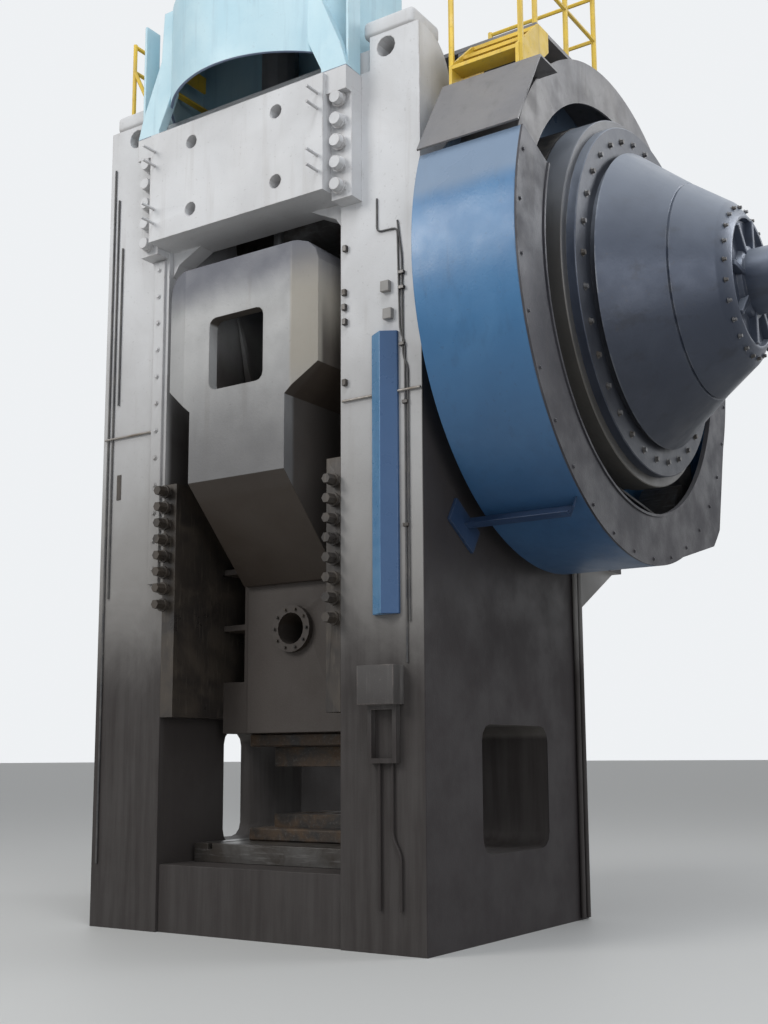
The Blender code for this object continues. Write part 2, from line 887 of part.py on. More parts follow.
def crown():
    half = window_half_width - gap
    seat = front_y - gap
    right_half = [
        (crown_half_width, crown_front),
        (crown_half_width, crown_flange_front),
        (crown_flange_x, crown_flange_front),
        (crown_flange_x, seat),
        (half, seat),
        (half, crown_tongue_back),
    ]
    top_view = right_half + [(-x, y) for x, y in reversed(right_half)]
    beam = plate("crown_front_beam", "XY", [top_view], crown_flange_bottom, crown_top, frame_grey)
    cut(beam, box("beam underside", (-crown_half_width - join_step, crown_front - overrun,
                                     crown_flange_bottom - overrun),
                  (crown_half_width + join_step, crown_tongue_back + overrun, crown_bottom)))
    for side in (-1, 1):
        low, high = sorted((side * (crown_half_width + join_step), side * (crown_flange_x + overrun)))
        cut(beam, box("flange top", (low, crown_flange_front - overrun, crown_flange_top),
                      (high, seat + overrun, crown_top + overrun)))
        low, high = sorted((side * foot_inner_x, side * (crown_flange_x - join_step)))
        join(beam, box("foot", (low, foot_front, crown_flange_top - overrun),
                       (high, seat - join_step, foot_top)))
        gusset = [
            (half - join_step, crown_gusset_bottom),
            (crown_gusset_mid_x, crown_gusset_mid_z),
            (crown_gusset_inner_x, crown_bottom - join_step),
            (crown_gusset_inner_x, crown_bottom + overrun),
            (half - join_step, crown_bottom + overrun),
        ]
        outline = [(side * x, z) for x, z in gusset]
        join(beam, plate("gusset", "XZ", [outline], crown_tongue_back - crown_gusset_thickness,
                         crown_tongue_back - join_step))
    studs = []
    bolts = []
    holes = []
    pitch = (crown_flange_top - crown_flange_bottom) / crown_flange_bolts
    for side in (-1, 1):
        for height in crown_stud_heights:
            studs.append(cylinder("stud", "Y", (side * crown_stud_x, height), crown_stud_radius,
                                  crown_front - crown_stud_length, crown_front + overrun, hex_sides))
        for number in range(crown_flange_bolts):
            height = crown_flange_bottom + (number + 0.5) * pitch
            bolts.append(cylinder("flange bolt", "Y", (side * crown_flange_bolt_x, height), crown_bolt_radius,
                                  crown_flange_front - crown_bolt_height, crown_flange_front + overrun,
                                  hex_sides))
        for height in (crown_hole_bottom, crown_hole_top):
            holes.append(cylinder("round hole", "Y", (side * crown_hole_x, height), crown_hole_radius,
                                  crown_front - overrun, crown_front + crown_hole_depth, rod_sides))
    join(beam, merged("studs", studs), merged("flange bolts", bolts))
    cut(beam, merged("round holes", holes))

    box("crown_rear_beam", (-half, back_y - rear_beam_depth, rear_beam_bottom), (half, back_y, crown_top),
        frame_grey)

    cap = box("crown_cap", (-cap_half_width, -cap_half_depth, frame_height + gap),
              (cap_half_width, cap_half_depth, cap_top), frame_grey)
    sweep = rod_ring_radius + throw + cap_clearance
    cut(cap,
        cylinder("rod sweep", "X", (shaft_y, shaft_z), sweep, -window_half_width, window_half_width,
                 eccentric_sides),
        cylinder("balance hole", "Z", (0, ram_bar_y), balance_rod_radius + cap_clearance,
                 frame_height - overrun, cap_top + overrun, hole_sides))


def hood():
    outside = arc((0, hood_y), hood_radius, 180, 360, round_sides)
    shell = plate("top_hood", "XY", [outside], cap_top + gap, hood_top, hood_blue)
    back_deg = math.degrees(math.asin(hood_wall / hood_radius))
    inside = arc((0, hood_y), hood_radius - hood_wall, 180 + back_deg, 360 - back_deg, round_sides)
    cut(shell, plate("hood inside", "XY", [inside], cap_top - overrun, hood_top - hood_wall))
    for side in (-1, 1):
        outline = [
            (leg_knee_inner[0], foot_top + gap),
            (crown_flange_x, foot_top + gap),
            leg_outer_low,
            leg_outer_high,
            (leg_outer_top_x, hood_top - hood_wall / 2),
            (leg_inner_x, hood_top - hood_wall / 2),
            (leg_inner_x, leg_knee_z),
            leg_knee_inner,
        ]
        outline = [(side * x, z) for x, z in outline]
        join(shell, plate("leg", "XZ", [outline], foot_front, foot_front + leg_thickness))
        low, high = sorted((side * (cheek_outer_x - cheek_thickness), side * cheek_outer_x))
        join(shell, box("cheek", (low, foot_front + leg_thickness / 2, foot_top + join_step),
                        (high, front_y - join_step, hood_top - hood_wall)))


def ram_block():
    side_view = [
        (ram_front, ram_nose_z),
        (ram_slope_end_y, ram_slope_end_z),
        (ram_body_front, ram_slope_end_z),
        (ram_body_front, ram_bottom),
        (ram_body_back, ram_bottom),
        (ram_body_back, ram_body_top),
        (ram_arm_back, ram_body_top),
        (ram_arm_back, ram_top),
        (ram_front, ram_top),
    ]
    ram = plate("ram", "YZ", [side_view], -ram_half_width, ram_half_width, ram_grey)
    jog_slope = (ram_jog_top - ram_jog_bottom) / (ram_half_width - ram_nose_half_width)
    bevel_slope = (ram_bevel_y - ram_front) / (ram_half_width - ram_bevel_x)
    outside = ram_half_width + overrun
    flank = [
        (ram_nose_half_width, ram_bottom - overrun),
        (ram_nose_half_width, ram_jog_bottom),
        (outside, ram_jog_bottom + jog_slope * (outside - ram_nose_half_width)),
        (outside, ram_bottom - overrun),
    ]
    corner = arc((ram_half_width - ram_corner, ram_top - ram_corner), ram_corner, 0, 90, corner_steps)
    corner += [
        (ram_half_width - ram_corner, ram_top + overrun),
        (outside, ram_top + overrun),
        (outside, ram_top - ram_corner),
    ]
    chamfer = [
        (ram_bevel_x - overrun, ram_front - bevel_slope * overrun),
        (outside, ram_bevel_y + bevel_slope * overrun),
        (outside, ram_front - overrun),
        (ram_bevel_x - overrun, ram_front - overrun),
    ]
    for side in (-1, 1):
        cut(ram,
            plate("ram flank", "XZ", [[(side * x, z) for x, z in flank]], ram_front - overrun,
                  ram_body_front + wing_setback),
            plate("ram corner", "XZ", [[(side * x, z) for x, z in corner]], ram_front - overrun,
                  ram_arm_back + overrun),
            plate("ram chamfer", "XY", [[(side * x, y) for x, y in chamfer]], ram_jog_bottom - overrun,
                  ram_top + overrun))
    hollow = box("ram hollow", (-ram_hollow_half_width, ram_front + ram_wall, ram_hollow_bottom),
                 (ram_hollow_half_width, ram_hollow_back, ram_top + overrun))
    window = rounded_box((ram_window_left, ram_window_bottom), (ram_window_right, ram_window_top),
                         ram_window_corner)
    cut(ram, hollow, plate("ram window", "XZ", [window], ram_front - overrun, ram_front + ram_wall + overrun))
    pockets = []
    rise = (wing_pocket_top - wing_pocket_bottom) / wing_pockets
    for side in (-1, 1):
        low, high = sorted((side * wing_inner_x, side * (wing_outer_x + overrun)))
        for number in range(wing_pockets):
            bottom = wing_pocket_bottom + number * rise
            pockets.append(box("wing pocket", (low, ram_body_front - overrun, bottom + wing_shelf),
                               (high, ram_body_front + wing_pocket_depth, bottom + rise)))
    cut(ram, merged("wing pockets", pockets))
    rib = box("ram rib", (ram_rib_left, ram_rib_y, ram_rib_bottom),
              (ram_hollow_half_width + overrun, ram_rib_y + ram_rib_thickness, ram_top - ram_bar_height / 2))
    bar_half = ram_hollow_half_width + overrun
    bar = box("ram bar", (-bar_half, ram_bar_y - ram_bar_depth / 2, ram_top - ram_bar_height),
              (bar_half, ram_bar_y + ram_bar_depth / 2, ram_top - ram_bar_step))
    brace_top = ram_top - ram_bar_height / 2
    lean = math.tan(math.radians(ram_brace_lean_deg)) * (brace_top - ram_hollow_bottom)
    brace_outline = [
        (ram_brace_x - lean, brace_top),
        (ram_brace_x - lean - ram_brace_width, brace_top),
        (ram_brace_x - ram_brace_width, ram_hollow_bottom - overrun),
        (ram_brace_x, ram_hollow_bottom - overrun),
    ]
    brace_outline = [(max(x, -ram_hollow_half_width - overrun), z) for x, z in brace_outline]
    brace = plate("ram brace", "XZ", [brace_outline], ram_rib_y, ram_rib_y + ram_rib_thickness)
    join(ram, rib, bar, brace)
    cut(ram,
        cylinder("port", "Y", (0, port_z), port_radius, ram_body_front - overrun, ram_body_front + port_depth,
                 port_sides),
        cylinder("upper ejector hole", "Z", (0, 0), ejector_radius + gap, ram_bottom - overrun,
                 ram_bottom + ejector_height, hole_sides))
    return ram


def ram_pieces():
    slide = pivot("ram slide", (0, 0, ram_bottom))
    carry(slide, ram_block())
    face = ram_body_front - gap
    flange = turned(
        "ram_port_flange", "Y", (0, port_z),
        [
            (port_flange_radius, face),
            (port_flange_radius, face - port_flange_thickness),
            (port_radius, face - port_flange_thickness),
            (port_radius, face),
        ],
        True, port_sides, ram_grey,
    )
    holder_bottom = ram_bottom - gap - upper_holder_height
    upper_die_bottom = lower_die_top + die_gap_closed + stroke
    holder = box("upper_die_holder", (-holder_half_width, -holder_half_depth, holder_bottom),
                 (holder_half_width, holder_half_depth, ram_bottom - gap), black_steel)
    die = box("upper_die", (-die_half_width, -die_half_depth, upper_die_bottom),
              (die_half_width, die_half_depth, holder_bottom - gap), black_steel)
    bevel(holder, tool_bevel)
    cut(holder, cylinder("holder hole", "Z", (0, 0), ejector_radius + gap, holder_bottom - overrun,
                         ram_bottom + overrun, hole_sides))
    cut(die, cylinder("die hole", "Z", (0, 0), ejector_radius + gap, upper_die_bottom - overrun,
                      holder_bottom + overrun, hole_sides))
    ejector = cylinder("upper_ejector", "Z", (0, 0), ejector_radius, upper_die_bottom + upper_ejector_stroke,
                       ram_bottom + ejector_height - gap, hole_sides, bare_steel)
    balance_bottom = ram_top - ram_bar_step + gap
    piston_top = cap_top + balance_height - 2 * balance_wall
    rod = cylinder("balance_rod", "Z", (0, ram_bar_y), balance_rod_radius, balance_bottom, piston_top,
                   balance_sides, bare_steel)
    join(rod, cylinder("piston", "Z", (0, ram_bar_y), balance_bore - gap, piston_top - piston_height,
                       piston_top, balance_sides))
    carry(slide, flange, holder, die, rod)
    carry(pivot("upper ejector axis", (0, 0, ram_bottom)), ejector)

    base = cap_top + gap
    turned(
        "balance_cylinder", "Z", (0, ram_bar_y),
        [
            (0, cap_top + balance_height),
            (balance_bore + balance_wall, cap_top + balance_height),
            (balance_bore + balance_wall, base),
            (balance_bore, base),
            (balance_bore, cap_top + balance_height - balance_wall),
            (0, cap_top + balance_height - balance_wall),
        ],
        False, balance_sides, dusty_grey,
    )


def eccentric_drive():
    axis = pivot("eccentric axis", (0, shaft_y, shaft_z))
    left_end = -(frame_half_width + brake_seat_length)
    profile = [
        (0, gear_right),
        (gear_seat_radius, gear_right),
        (gear_seat_radius, frame_half_width + gap),
        (journal_radius, frame_half_width + gap),
        (journal_radius, -frame_half_width),
        (brake_seat_radius, -frame_half_width),
        (brake_seat_radius, left_end),
        (0, left_end),
    ]
    shaft = turned("eccentric_shaft", "X", (shaft_y, shaft_z), profile, False, journal_sides, bare_steel)
    join(shaft, cylinder("eccentric", "X", (shaft_y, crank_z), eccentric_radius, -eccentric_half_width,
                         eccentric_half_width, eccentric_sides))

    for name, side in (("left_main_bearing", -1), ("right_main_bearing", 1)):
        bore = running_radius(journal_radius, journal_sides)
        inner = eccentric_half_width + gap
        flange = window_half_width - gap
        outer = frame_half_width - gap
        profile = [
            (bearing_radius, outer),
            (bearing_radius, flange),
            (bearing_flange_radius, flange),
            (bearing_flange_radius, flange - bearing_flange_width),
            (bearing_sleeve_radius, inner),
            (bore, inner),
            (bore, outer),
        ]
        if side < 0:
            profile = [(radius, -along) for radius, along in reversed(profile)]
        turned(name, "X", (shaft_y, shaft_z), profile, True, journal_sides, bronze)

    ring_angle = math.degrees(math.asin(rod_waist / rod_ring_radius))
    eye_angle = math.degrees(math.acos(rod_waist / rod_eye_radius))
    outline = arc((shaft_y, crank_z), rod_ring_radius, ring_angle - 90, 270 - ring_angle, eccentric_sides)
    outline += arc((shaft_y, wrist_z), rod_eye_radius, 180 - eye_angle, 360 + eye_angle, rod_sides)
    holes = [
        circle((shaft_y, crank_z), running_radius(eccentric_radius, eccentric_sides), eccentric_sides),
        circle((shaft_y, wrist_z), wrist_radius + gap, wrist_sides),
    ]
    rod = plate("connecting_rod", "YZ", [outline, *holes], -eccentric_half_width + gap,
                eccentric_half_width - gap, ram_grey)
    for side in (-1, 1):
        low, high = sorted((side * rod_eye_half_width, side * (eccentric_half_width + overrun)))
        cut(rod, box("rod side", (low, -rod_ring_radius, wrist_z - rod_ring_radius),
                     (high, rod_ring_radius, rod_shoulder_z)))
    pin = cylinder("wrist_pin", "X", (shaft_y, wrist_z), wrist_radius, -wrist_half_length, wrist_half_length,
                   wrist_sides, bare_steel)
    crank_pin = pivot("rod axis", (0, shaft_y, crank_z))
    carry(crank_pin, rod, pin)

    disc_right = -(frame_half_width + brake_offset)
    disc = turned(
        "brake_disc", "X", (shaft_y, shaft_z),
        [
            (brake_radius, disc_right),
            (brake_radius, disc_right - brake_thickness),
            (brake_seat_radius + gap, disc_right - brake_thickness),
            (brake_seat_radius + gap, disc_right),
        ],
        True, journal_sides, bare_steel,
    )
    caliper_z = shaft_z - brake_radius
    caliper = box("brake_caliper", (-frame_half_width - caliper_thickness, -caliper_half_width,
                                    caliper_z - caliper_height / 2),
                  (-frame_half_width - gap, caliper_half_width, caliper_z + caliper_height / 2), black_steel)
    cut(caliper, cylinder("disc slot", "X", (shaft_y, shaft_z), brake_radius + caliper_slot,
                          disc_right - brake_thickness - caliper_slot, disc_right + caliper_slot,
                          journal_sides))
    carry(axis, shaft, main_gear(), disc)


def tooth_outline(teeth, phase):
    pitch = teeth * gear_module / 2
    base = pitch * math.cos(math.radians(pressure_deg))
    root = pitch - 1.25 * gear_module
    tip = pitch + gear_module
    half = math.pi / (2 * teeth) - backlash / (2 * pitch)

    def involute(radius):
        angle = math.acos(min(1, base / radius))
        return math.tan(angle) - angle

    points = []
    for tooth in range(teeth):
        middle = phase + 2 * math.pi * tooth / teeth
        flank = [(radius, half + involute(pitch) - involute(radius)) for radius in (root, pitch, tip)]
        for radius, angle in flank:
            points.append((radius, middle - angle))
        for radius, angle in reversed(flank):
            points.append((radius, middle + angle))
    return points


def polar(centre, points):
    return [(centre[0] + radius * math.cos(a), centre[1] + radius * math.sin(a)) for radius, a in points]


def main_gear():
    outline = polar((shaft_y, shaft_z), tooth_outline(gear_teeth, mesh_angle))
    bore = circle((shaft_y, shaft_z), gear_seat_radius + gap, journal_sides)
    middle = (gear_hub_radius + gear_rim_radius) / 2
    holes = [bore]
    for number in range(gear_holes):
        angle = 2 * math.pi * (number + 0.5) / gear_holes
        place = (shaft_y + middle * math.cos(angle), shaft_z + middle * math.sin(angle))
        holes.append(circle(place, gear_hole_radius, rod_sides))
    return plate("main_gear", "YZ", [outline, *holes], gear_left, gear_right, bare_steel)


def receiving_shaft():
    centre = (drive_y, drive_z)
    axis = pivot("receiving axis", (0, *centre))
    pinion_left = gear_left - case_wall / 2
    pinion_right = gear_right + case_wall / 2
    disc_right = clutch_disc_left + clutch_disc_width
    profile = [
        (0, shaft_right),
        (union_radius, shaft_right),
        (union_radius, hub_cap_right - overrun),
        (pinion_shaft_radius, hub_cap_right - overrun),
        (pinion_shaft_radius, disc_right),
        (clutch_disc_radius, disc_right),
        (clutch_disc_radius, clutch_disc_left),
        (flywheel_seat_radius, clutch_disc_left),
        (flywheel_seat_radius, flywheel_left - gap),
        (collar_radius, flywheel_left - gap),
        (collar_radius, pinion_right + gap),
        (pinion_shaft_radius, pinion_right + gap),
        (pinion_shaft_radius, window_half_width),
        (shaft_nut_radius, window_half_width),
        (shaft_nut_radius, shaft_nut_left),
        (0, shaft_nut_left),
    ]
    shaft = turned("receiving_shaft", "X", centre, profile, False, pinion_sides, bare_steel)
    half_tooth = math.pi / pinion_teeth
    outline = polar(centre, tooth_outline(pinion_teeth, mesh_angle + math.pi + half_tooth))
    bore = circle(centre, pinion_shaft_radius + gap, pinion_sides)
    pinion = plate("pinion", "YZ", [outline, bore], pinion_left, pinion_right, bare_steel)
    carry(axis, shaft, pinion)

    outer = frame_half_width - gap
    inner = window_half_width + gap
    bearing_bore = running_radius(pinion_shaft_radius, pinion_sides)
    turned(
        "receiving_bearing", "X", centre,
        [
            (drive_bearing_radius, outer),
            (drive_bearing_radius, inner),
            (bearing_bore, inner),
            (bearing_bore, outer),
        ],
        True, pinion_sides, bronze,
    )


def gear_case():
    gear_tip = (gear_teeth / 2 + 1) * gear_module + case_clearance
    pinion_tip = (pinion_teeth / 2 + 1) * gear_module + case_clearance
    first = (shaft_y, shaft_z)
    second = (drive_y, drive_z)
    end_steps = case_steps // 2
    outside = loop_around(first, gear_tip + case_wall, second, pinion_tip + case_wall, case_steps, end_steps)
    inside = loop_around(first, gear_tip, second, pinion_tip, case_steps, end_steps)
    left = frame_half_width + gap
    rim_right = case_right - case_wall - gap
    collar_hole = circle(second, collar_radius + case_clearance, round_sides)
    case = plate("gear_case", "YZ", [outside, collar_hole], left, rim_right, dusty_grey)
    cut(case, plate("case inside", "YZ", [inside], left + case_wall, rim_right + overrun))
    cut(case, cylinder("case shaft hole", "X", first, journal_radius + case_clearance, left - overrun,
                       left + case_wall + overrun, round_sides))
    plate("gear_case_cover", "YZ", [outside, collar_hole], rim_right + gap, case_right - gap, dusty_grey)


def flywheel_pieces():
    centre = (drive_y, drive_z)
    axis = pivot("flywheel axis", (0, *centre))
    bore = running_radius(flywheel_seat_radius, flywheel_sides)
    wheel_profile = [
        (step_radius, step_right),
        (step_radius, flywheel_right),
        (drum_radius, flywheel_right),
        (drum_radius, belt_seat_right),
        (belt_seat_radius, belt_seat_right),
        (belt_seat_radius, belt_seat_left),
        (drum_radius, belt_seat_left),
        (drum_radius, flywheel_left),
        (rim_inner_radius, flywheel_left),
        (rim_inner_radius, web_left),
        (hub_radius, web_left),
        (hub_radius, flywheel_left),
        (bore, flywheel_left),
        (bore, web_right),
        (face_radius, web_right),
        (face_radius, step_right),
    ]
    wheel = turned("flywheel", "X", centre, wheel_profile, True, flywheel_sides, wheel_steel)

    slope = (cone_base_radius - cone_end_radius) / (cone_right - cone_left)
    inner_end = cone_right - cone_wall
    flange_left = step_right + gap
    cover_profile = [
        (cone_bore, hub_cap_right),
        (hub_cap_radius, hub_cap_right),
        (hub_cap_radius, cone_nose_right),
        (cone_nose_radius, cone_nose_right),
        (cone_end_radius, cone_right),
        (cone_base_radius, cone_left),
        (cone_flange_radius, cone_left),
        (cone_flange_radius, flange_left),
        (face_radius, flange_left),
        (cone_base_radius - cone_wall - slope * cone_wall, cone_left + cone_wall),
        (cone_base_radius - cone_wall - slope * (inner_end - cone_left), inner_end),
        (cone_bore, inner_end),
    ]
    cover = turned("clutch_cover", "X", centre, cover_profile, True, flywheel_sides, wheel_steel)
    ribs = []
    for number in range(cone_ribs):
        angle = 2 * math.pi * number / cone_ribs
        rib = box("cone rib", (cone_right - overrun, -cone_rib_thickness / 2, hub_cap_radius - overrun),
                  (cone_nose_right + cone_rib_thickness, cone_rib_thickness / 2,
                   cone_nose_radius - cone_rib_thickness / 2))
        turn = Matrix.Translation((0, *centre)) @ Matrix.Rotation(angle, 4, "X")
        rib.matrix_basis = turn @ Matrix.Translation(rib.location)
        ribs.append(rib)
    join(cover, merged("cone ribs", ribs))
    carry(axis, wheel, cover)

    motor_axis = pivot("motor axis", (0, motor_y, motor_z))
    pulley = turned(
        "motor_pulley", "X", (motor_y, motor_z),
        [
            (pulley_radius, belt_right),
            (pulley_radius, belt_left),
            (motor_shaft_radius + gap, belt_left),
            (motor_shaft_radius + gap, belt_right),
        ],
        True, pulley_sides, black_steel,
    )
    rotor = cylinder("motor_shaft", "X", (motor_y, motor_z), motor_shaft_radius, motor_right + gap,
                     belt_right, pulley_sides // 2, bare_steel)
    carry(motor_axis, pulley, rotor)
    motor_pieces()
    belt_inner = belt_seat_radius + gap
    pulley_inner = pulley_radius + gap
    motor_centre = (motor_y, motor_z)
    end_steps = pulley_sides // 2
    inner = loop_around(centre, belt_inner, motor_centre, pulley_inner, flywheel_sides, end_steps)
    outer = loop_around(centre, belt_inner + belt_thickness, motor_centre, pulley_inner + belt_thickness,
                        flywheel_sides, end_steps)
    plate("v_belts", "YZ", [outer, inner], belt_left, belt_right, belt_rubber)


def motor_pieces():
    body = cylinder("motor", "X", (motor_y, motor_z), motor_radius, motor_left, motor_right, round_sides,
                    guard_blue)
    console_top = motor_z - motor_radius - console_thickness / 2
    foot = box("motor foot",
               (motor_left + motor_foot_inset, motor_y - motor_foot_half_width, console_top + gap),
               (motor_right - motor_foot_inset, motor_y + motor_foot_half_width, motor_z))
    end_bell = cylinder("motor end bell", "X", (motor_y, motor_z), motor_bell_radius,
                        motor_left - motor_bell_length, motor_left + overrun, round_sides)
    join(body, foot, end_bell)
    console = box("motor_console", (window_half_width, back_y + gap, console_top - console_thickness),
                  (frame_half_width, console_back, console_top), frame_grey)
    gusset = [
        (back_y + join_step, console_top - console_thickness / 2),
        (back_y + join_step, console_top - console_thickness - console_drop),
        (console_back, console_top - console_thickness / 2),
    ]
    for low in (window_half_width + console_web, frame_half_width - 2 * console_web):
        join(console, plate("console web", "YZ", [gusset], low, low + console_web))


def guard_path(inset):
    centre = (drive_y, drive_z)
    front_steps = (guard_corner_start_deg - guard_start_deg) // guard_step_deg
    back_steps = (guard_end_deg - guard_corner_end_deg) // guard_step_deg
    points = arc(centre, guard_radius - inset, guard_start_deg, guard_corner_start_deg, front_steps)
    points += arc(centre, guard_corner_radius - inset, guard_corner_deg - guard_corner_spread_deg,
                  guard_corner_deg + guard_corner_spread_deg, 2)
    points += arc(centre, guard_radius - inset, guard_corner_end_deg, guard_end_deg, back_steps)
    return points


def guard():
    centre = (drive_y, drive_z)
    arch_centre = (arch_y, arch_z)
    outer = guard_path(0)
    plate("guard_shell", "YZ", [outer + guard_path(guard_wall)[::-1]], guard_left, guard_right, guard_blue)
    opening = arc(centre, guard_opening_radius, guard_end_deg, guard_start_deg, guard_opening_steps)
    plate("guard_ring", "YZ", [outer + opening], guard_right + gap, guard_right + guard_wall, dusty_grey)

    arch_outside = arc(arch_centre, arch_radius, arch_start_deg, arch_end_deg, arch_steps)
    arch_inside = arc(arch_centre, arch_radius - guard_wall, arch_end_deg, arch_start_deg, arch_steps)
    arch_opening = arc(centre, arch_opening_radius, arch_opening_end_deg, arch_start_deg, arch_steps)
    plate_right = case_right + guard_wall
    arch_edge = arc(arch_centre, arch_radius + arch_lip, arch_start_deg, arch_end_deg, arch_steps)
    arch = plate("guard_arch", "YZ", [arch_edge + arch_opening], arch_face_x, arch_face_x + guard_wall,
                 dusty_grey)
    join(arch, plate("arch roof", "YZ", [arch_outside + arch_inside], plate_right + gap,
                     arch_face_x + guard_wall / 2))
    # The sloping front of the top joins the arch through its short flat roof
    slope = math.atan2(top_plate_high[1] - top_plate_low[1], top_plate_high[0] - top_plate_low[0])
    drop = (guard_wall * math.sin(slope), -guard_wall * math.cos(slope))
    top_outline = [
        top_plate_low,
        top_plate_high,
        (top_plate_back, top_plate_high[1]),
        (top_plate_back, top_plate_high[1] - guard_wall),
        (top_plate_high[0] + guard_wall / 2, top_plate_high[1] - guard_wall),
        (top_plate_low[0] + drop[0], top_plate_low[1] + drop[1]),
    ]
    join(arch, plate("top plate", "YZ", [top_outline], guard_left, guard_right))

    inset = guard_wall + gap
    roof_arc = arc(arch_centre, arch_radius, roof_start_deg, roof_end_deg, rod_sides)
    inner_outline = guard_path(inset) + roof_arc
    holes = [circle(centre, inner_plate_hole, round_sides),
             circle((motor_y, motor_z), motor_shaft_radius + case_clearance, rod_sides)]
    plate("guard_inner_plate", "YZ", [inner_outline, *holes], case_right, plate_right, guard_blue)

    face = guard_radius + gap
    arm = box("arm", (frame_half_width + join_step, face, -arm_half_height),
              (arm_right, guard_radius + arm_depth, arm_half_height))
    root = box("arm root", (frame_half_width + gap, face + join_step, -arm_root_half_height),
               (frame_half_width + arm_root_thickness, guard_radius + 2 * arm_depth, arm_root_half_height))
    for item in (arm, root):
        turn = Matrix.Translation((0, *centre)) @ Matrix.Rotation(math.radians(arm_deg), 4, "X")
        item.matrix_basis = turn @ Matrix.Translation(item.location)
    unite("guard_bracket", [arm, root], guard_blue)


def service_deck():
    deck = box("service_deck", (deck_left, deck_front, deck_z),
               (deck_right, deck_back, deck_z + deck_thickness), dusty_grey)
    for x in (deck_left + join_step, frame_half_width - deck_leg - join_step):
        for y in (deck_front + join_step, deck_back - deck_leg - join_step):
            join(deck, box("deck leg", (x, y, frame_height + gap),
                           (x + deck_leg, y + deck_leg, deck_z + deck_thickness / 2)))

    rails = []
    floor = deck_z + deck_thickness
    posts = [
        (deck_right - post_radius, deck_front + post_radius),
        (deck_right - post_radius, (deck_front + deck_back) / 2),
        (deck_right - post_radius, deck_back - post_radius),
        (deck_left + post_radius, deck_back - post_radius),
    ]
    for place in posts:
        rails.append(cylinder("post", "Z", place, post_radius, floor + gap, floor + rail_height, rail_sides))
    for height in (rail_height / 2, rail_height - post_radius):
        rails.append(cylinder("side rail", "Y", (deck_right - post_radius, floor + height), rail_radius,
                              deck_front + post_radius, deck_back - post_radius, rail_sides))
        rails.append(cylinder("back rail", "X", (deck_back - post_radius, floor + height), rail_radius,
                              deck_left + post_radius, deck_right - post_radius, rail_sides))
    unite("deck_railing", rails, rail_yellow)


def stairs():
    base = top_plate_high[1] + gap
    pieces = []
    front = top_plate_high[0] + guard_wall
    for left in (stair_left, stair_right - stringer_thickness):
        top = base + stair_steps * stair_rise
        back = front + stair_steps * stair_run
        outline = [
            (front, base),
            (front + stair_run, base),
            (back, top - stair_rise),
            (back, top),
            (back - stair_run, top),
            (front, base + stair_rise),
        ]
        pieces.append(plate("stringer", "YZ", [outline], left, left + stringer_thickness))
    for number in range(stair_steps):
        height = base + (number + 1) * stair_rise - stair_tread - gap
        y = front + number * stair_run
        pieces.append(box("tread", (stair_left + stringer_thickness / 2, y + join_step, height),
                          (stair_right - stringer_thickness / 2, y + stair_run, height + stair_tread)))
    for left in (stair_left, stair_right):
        place = (left, front + stair_run / 4)
        pieces.append(cylinder("stair post", "Z", place, post_radius, base + join_step, base + rail_height,
                               rail_sides))
    unite("guard_stairs", pieces, rail_yellow)


def ladder():
    pieces = []
    base = frame_height + gap
    for x in (ladder_left, ladder_right):
        pieces.append(cylinder("ladder post", "Z", (x, ladder_y), post_radius, base, ladder_top, rail_sides))
    pitch = (ladder_top - base) / ladder_rungs
    for number in range(ladder_rungs):
        height = base + (number + ladder_rung_share) * pitch
        pieces.append(cylinder("rung", "X", (ladder_y, height), rail_radius, ladder_left, ladder_right,
                               rail_sides))
    unite("left_ladder", pieces, rail_yellow)


def front_fittings():
    face = front_y - gap
    middle = (channel_left + channel_right) / 2
    outline = [
        (channel_left, face),
        (channel_left, face - channel_side),
        (middle, face - channel_ridge),
        (channel_right, face - channel_side),
        (channel_right, face),
    ]
    plate("cable_channel", "XY", [outline], channel_bottom, channel_top, guard_blue)
    control = box("control_box", (box_left, face - box_depth, box_bottom), (box_right, face, box_top),
                  frame_grey)
    lower = box("box frame", (box_left + box_frame_inset, face - box_frame_depth, box_frame_bottom),
                (box_right - box_frame_inset, face - join_step, box_bottom + overrun))
    inside = box("box frame gap", (box_left + 2 * box_frame_inset, face - box_frame_depth - overrun,
                                   box_frame_bottom + box_frame_inset),
                 (box_right - 2 * box_frame_inset, face + overrun, box_bottom - box_frame_inset))
    join(control, lower)
    cut(control, inside)
    box("cover_strip", (strip_left, face - strip_thickness, strip_bottom), (strip_right, face, strip_top),
        frame_grey)


upright("left_upright", -1)
upright("right_upright", 1)
for side, side_name in ((-1, "left"), (1, "right")):
    top_box(side_name + "_top_box", side)
    for end, end_name in ((-1, "front"), (1, "rear")):
        tie_rod(end_name + "_" + side_name + "_tie_rod", side, end)
bed_and_tools()
gib("front_left_guide", -1, front_y, front_gib_back, left_gib_bolt_top, left_gib_bolt_pitch)
gib("front_right_guide", 1, front_y, front_gib_back, right_gib_bolt_top, right_gib_bolt_pitch)
gib("rear_left_guide", -1, rear_gib_front, rear_gib_back)
gib("rear_right_guide", 1, rear_gib_front, rear_gib_back)
crown()
hood()
ram_pieces()
eccentric_drive()
receiving_shaft()
gear_case()
flywheel_pieces()
guard()
service_deck()
stairs()
ladder()
front_fittings()
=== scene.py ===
import json
import math

import bmesh
import bpy
from mathutils import Euler, Matrix, Vector

